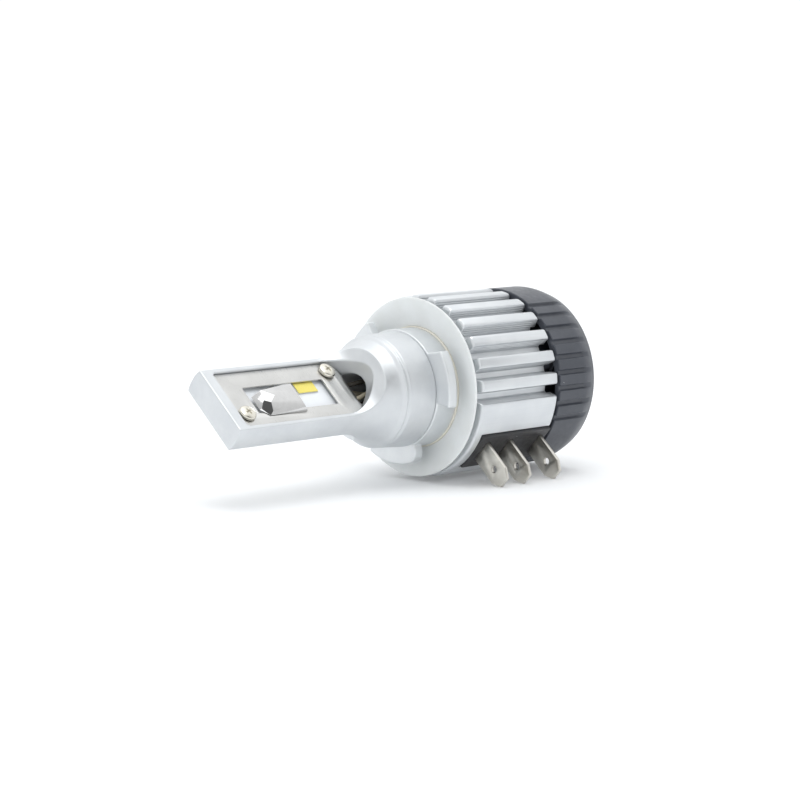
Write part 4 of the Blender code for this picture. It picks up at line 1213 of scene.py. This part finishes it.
def make_light(name, place, aim, size, power):
    """A soft rectangular light at a place, in metres, facing a point."""
    lamp = bpy.data.lights.new(name, "AREA")
    lamp.shape = "RECTANGLE"
    lamp.size, lamp.size_y = size
    lamp.energy = power
    made = bpy.data.objects.new(name, lamp)
    bpy.context.scene.collection.objects.link(made)
    made.location = place
    made.rotation_euler = (Vector(aim) - Vector(place)).to_track_quat("-Z", "Y").to_euler()


# Parts of the white room that differ: a direction, the cosines where the change starts and is full, and
# the brightness there against 1 elsewhere
ROOM_PARTS = (
    ((0, 0, 1), 0.1, 0.7, 1.08),                 # the upper half
    ((0, 0, 1), 0.76, 0.92, 1.25),               # overhead
    ((-0.1, -0.99, -0.1), 0.1, 1.0, 0.74),       # the side that the plug faces
    ((-0.85, 0.5, -0.1), 0.3, 1.0, 0.9),         # beyond the lamp tip
    ((0.16, -0.835, 0.525), 0.94, 0.975, 0.1),   # a black card
    ((-0.62, -0.08, 0.78), 0.92, 0.96, 0.45),    # a grey card
)


def make_world():
    """White room all round, its brightness worked out from the direction."""
    world = bpy.data.worlds.new("white_room")
    world.use_nodes = True
    tree = world.node_tree
    place = add_node(tree, "TexCoord", {}, {}).outputs["Generated"]
    total = None
    for direction, low, high, level in ROOM_PARTS:
        dot = add_node(tree, "VectorMath", {1: Vector(direction).normalized()}, {0: place})
        dot.operation = "DOT_PRODUCT"
        share = ranged(tree, dot.outputs["Value"], (low, high, 1, level))
        share.interpolation_type = "SMOOTHSTEP"
        if total is None:
            total = share.outputs["Result"]
            continue
        product = add_node(tree, "Math", {}, {0: total, 1: share.outputs["Result"]})
        product.operation = "MULTIPLY"
        total = product.outputs[0]
    sky = tree.nodes["Background"]
    sky.inputs["Color"].default_value = (1.05, 1.065, 1.075, 1)
    tree.links.new(total, sky.inputs["Strength"])
    bpy.context.scene.world = world


# The camera: where it looks from round the bulb, in degrees, and how it is framed
CAMERA_AZIMUTH = math.radians(-44.1)
CAMERA_ELEVATION = math.radians(7.26)
CAMERA_LENS = 112.5
CAMERA_DISTANCE = 0.51729
SEAL_OFF_CENTRE = (0.00238, -0.00269)    # of the seal's middle from the centre of view, right and down
VIEW_BACK = Vector((math.sin(CAMERA_AZIMUTH) * math.cos(CAMERA_ELEVATION),
                    -math.cos(CAMERA_AZIMUTH) * math.cos(CAMERA_ELEVATION), math.sin(CAMERA_ELEVATION)))


def make_camera():
    """Camera aimed from the middle of the seal ring."""
    target = seal_middle()
    right = Vector((math.cos(CAMERA_AZIMUTH), math.sin(CAMERA_AZIMUTH), 0))
    up = VIEW_BACK.cross(right)
    camera = bpy.data.cameras.new("camera")
    camera.lens = CAMERA_LENS
    camera.sensor_width = 36
    camera.clip_start = 0.01
    camera.clip_end = 50
    made = bpy.data.objects.new("camera", camera)
    bpy.context.scene.collection.objects.link(made)
    place = target - right * SEAL_OFF_CENTRE[0] + up * SEAL_OFF_CENTRE[1] + VIEW_BACK * CAMERA_DISTANCE
    made.matrix_world = Matrix.Translation(place) @ Matrix((right, up, VIEW_BACK)).transposed().to_4x4()
    bpy.context.scene.camera = made


def make_bulb():
    make_lamp_body()
    make_lock_collar()
    make_seal_ring()
    make_lamp_side("front", FACING_Z)
    make_lamp_side("back", HALF_TURN)
    make_heatsink()
    make_connector_block()
    for number, z in enumerate(BLADE_PLACES, 1):
        make_terminal(number, z)
    make_rear_cap()
    for number, angle in enumerate(CAP_SCREW_ANGLES, 1):
        make_cap_screw(number, angle)
    make_fan_rotor()
    dress_cad_nodes()


make_bulb()
make_floor()
make_world()
make_light("top_box", (-0.15, -0.15, 1.0), (0, 0, 0), (0.6, 0.6), 2.4)
make_camera()
bpy.context.scene.view_settings.view_transform = "Standard"
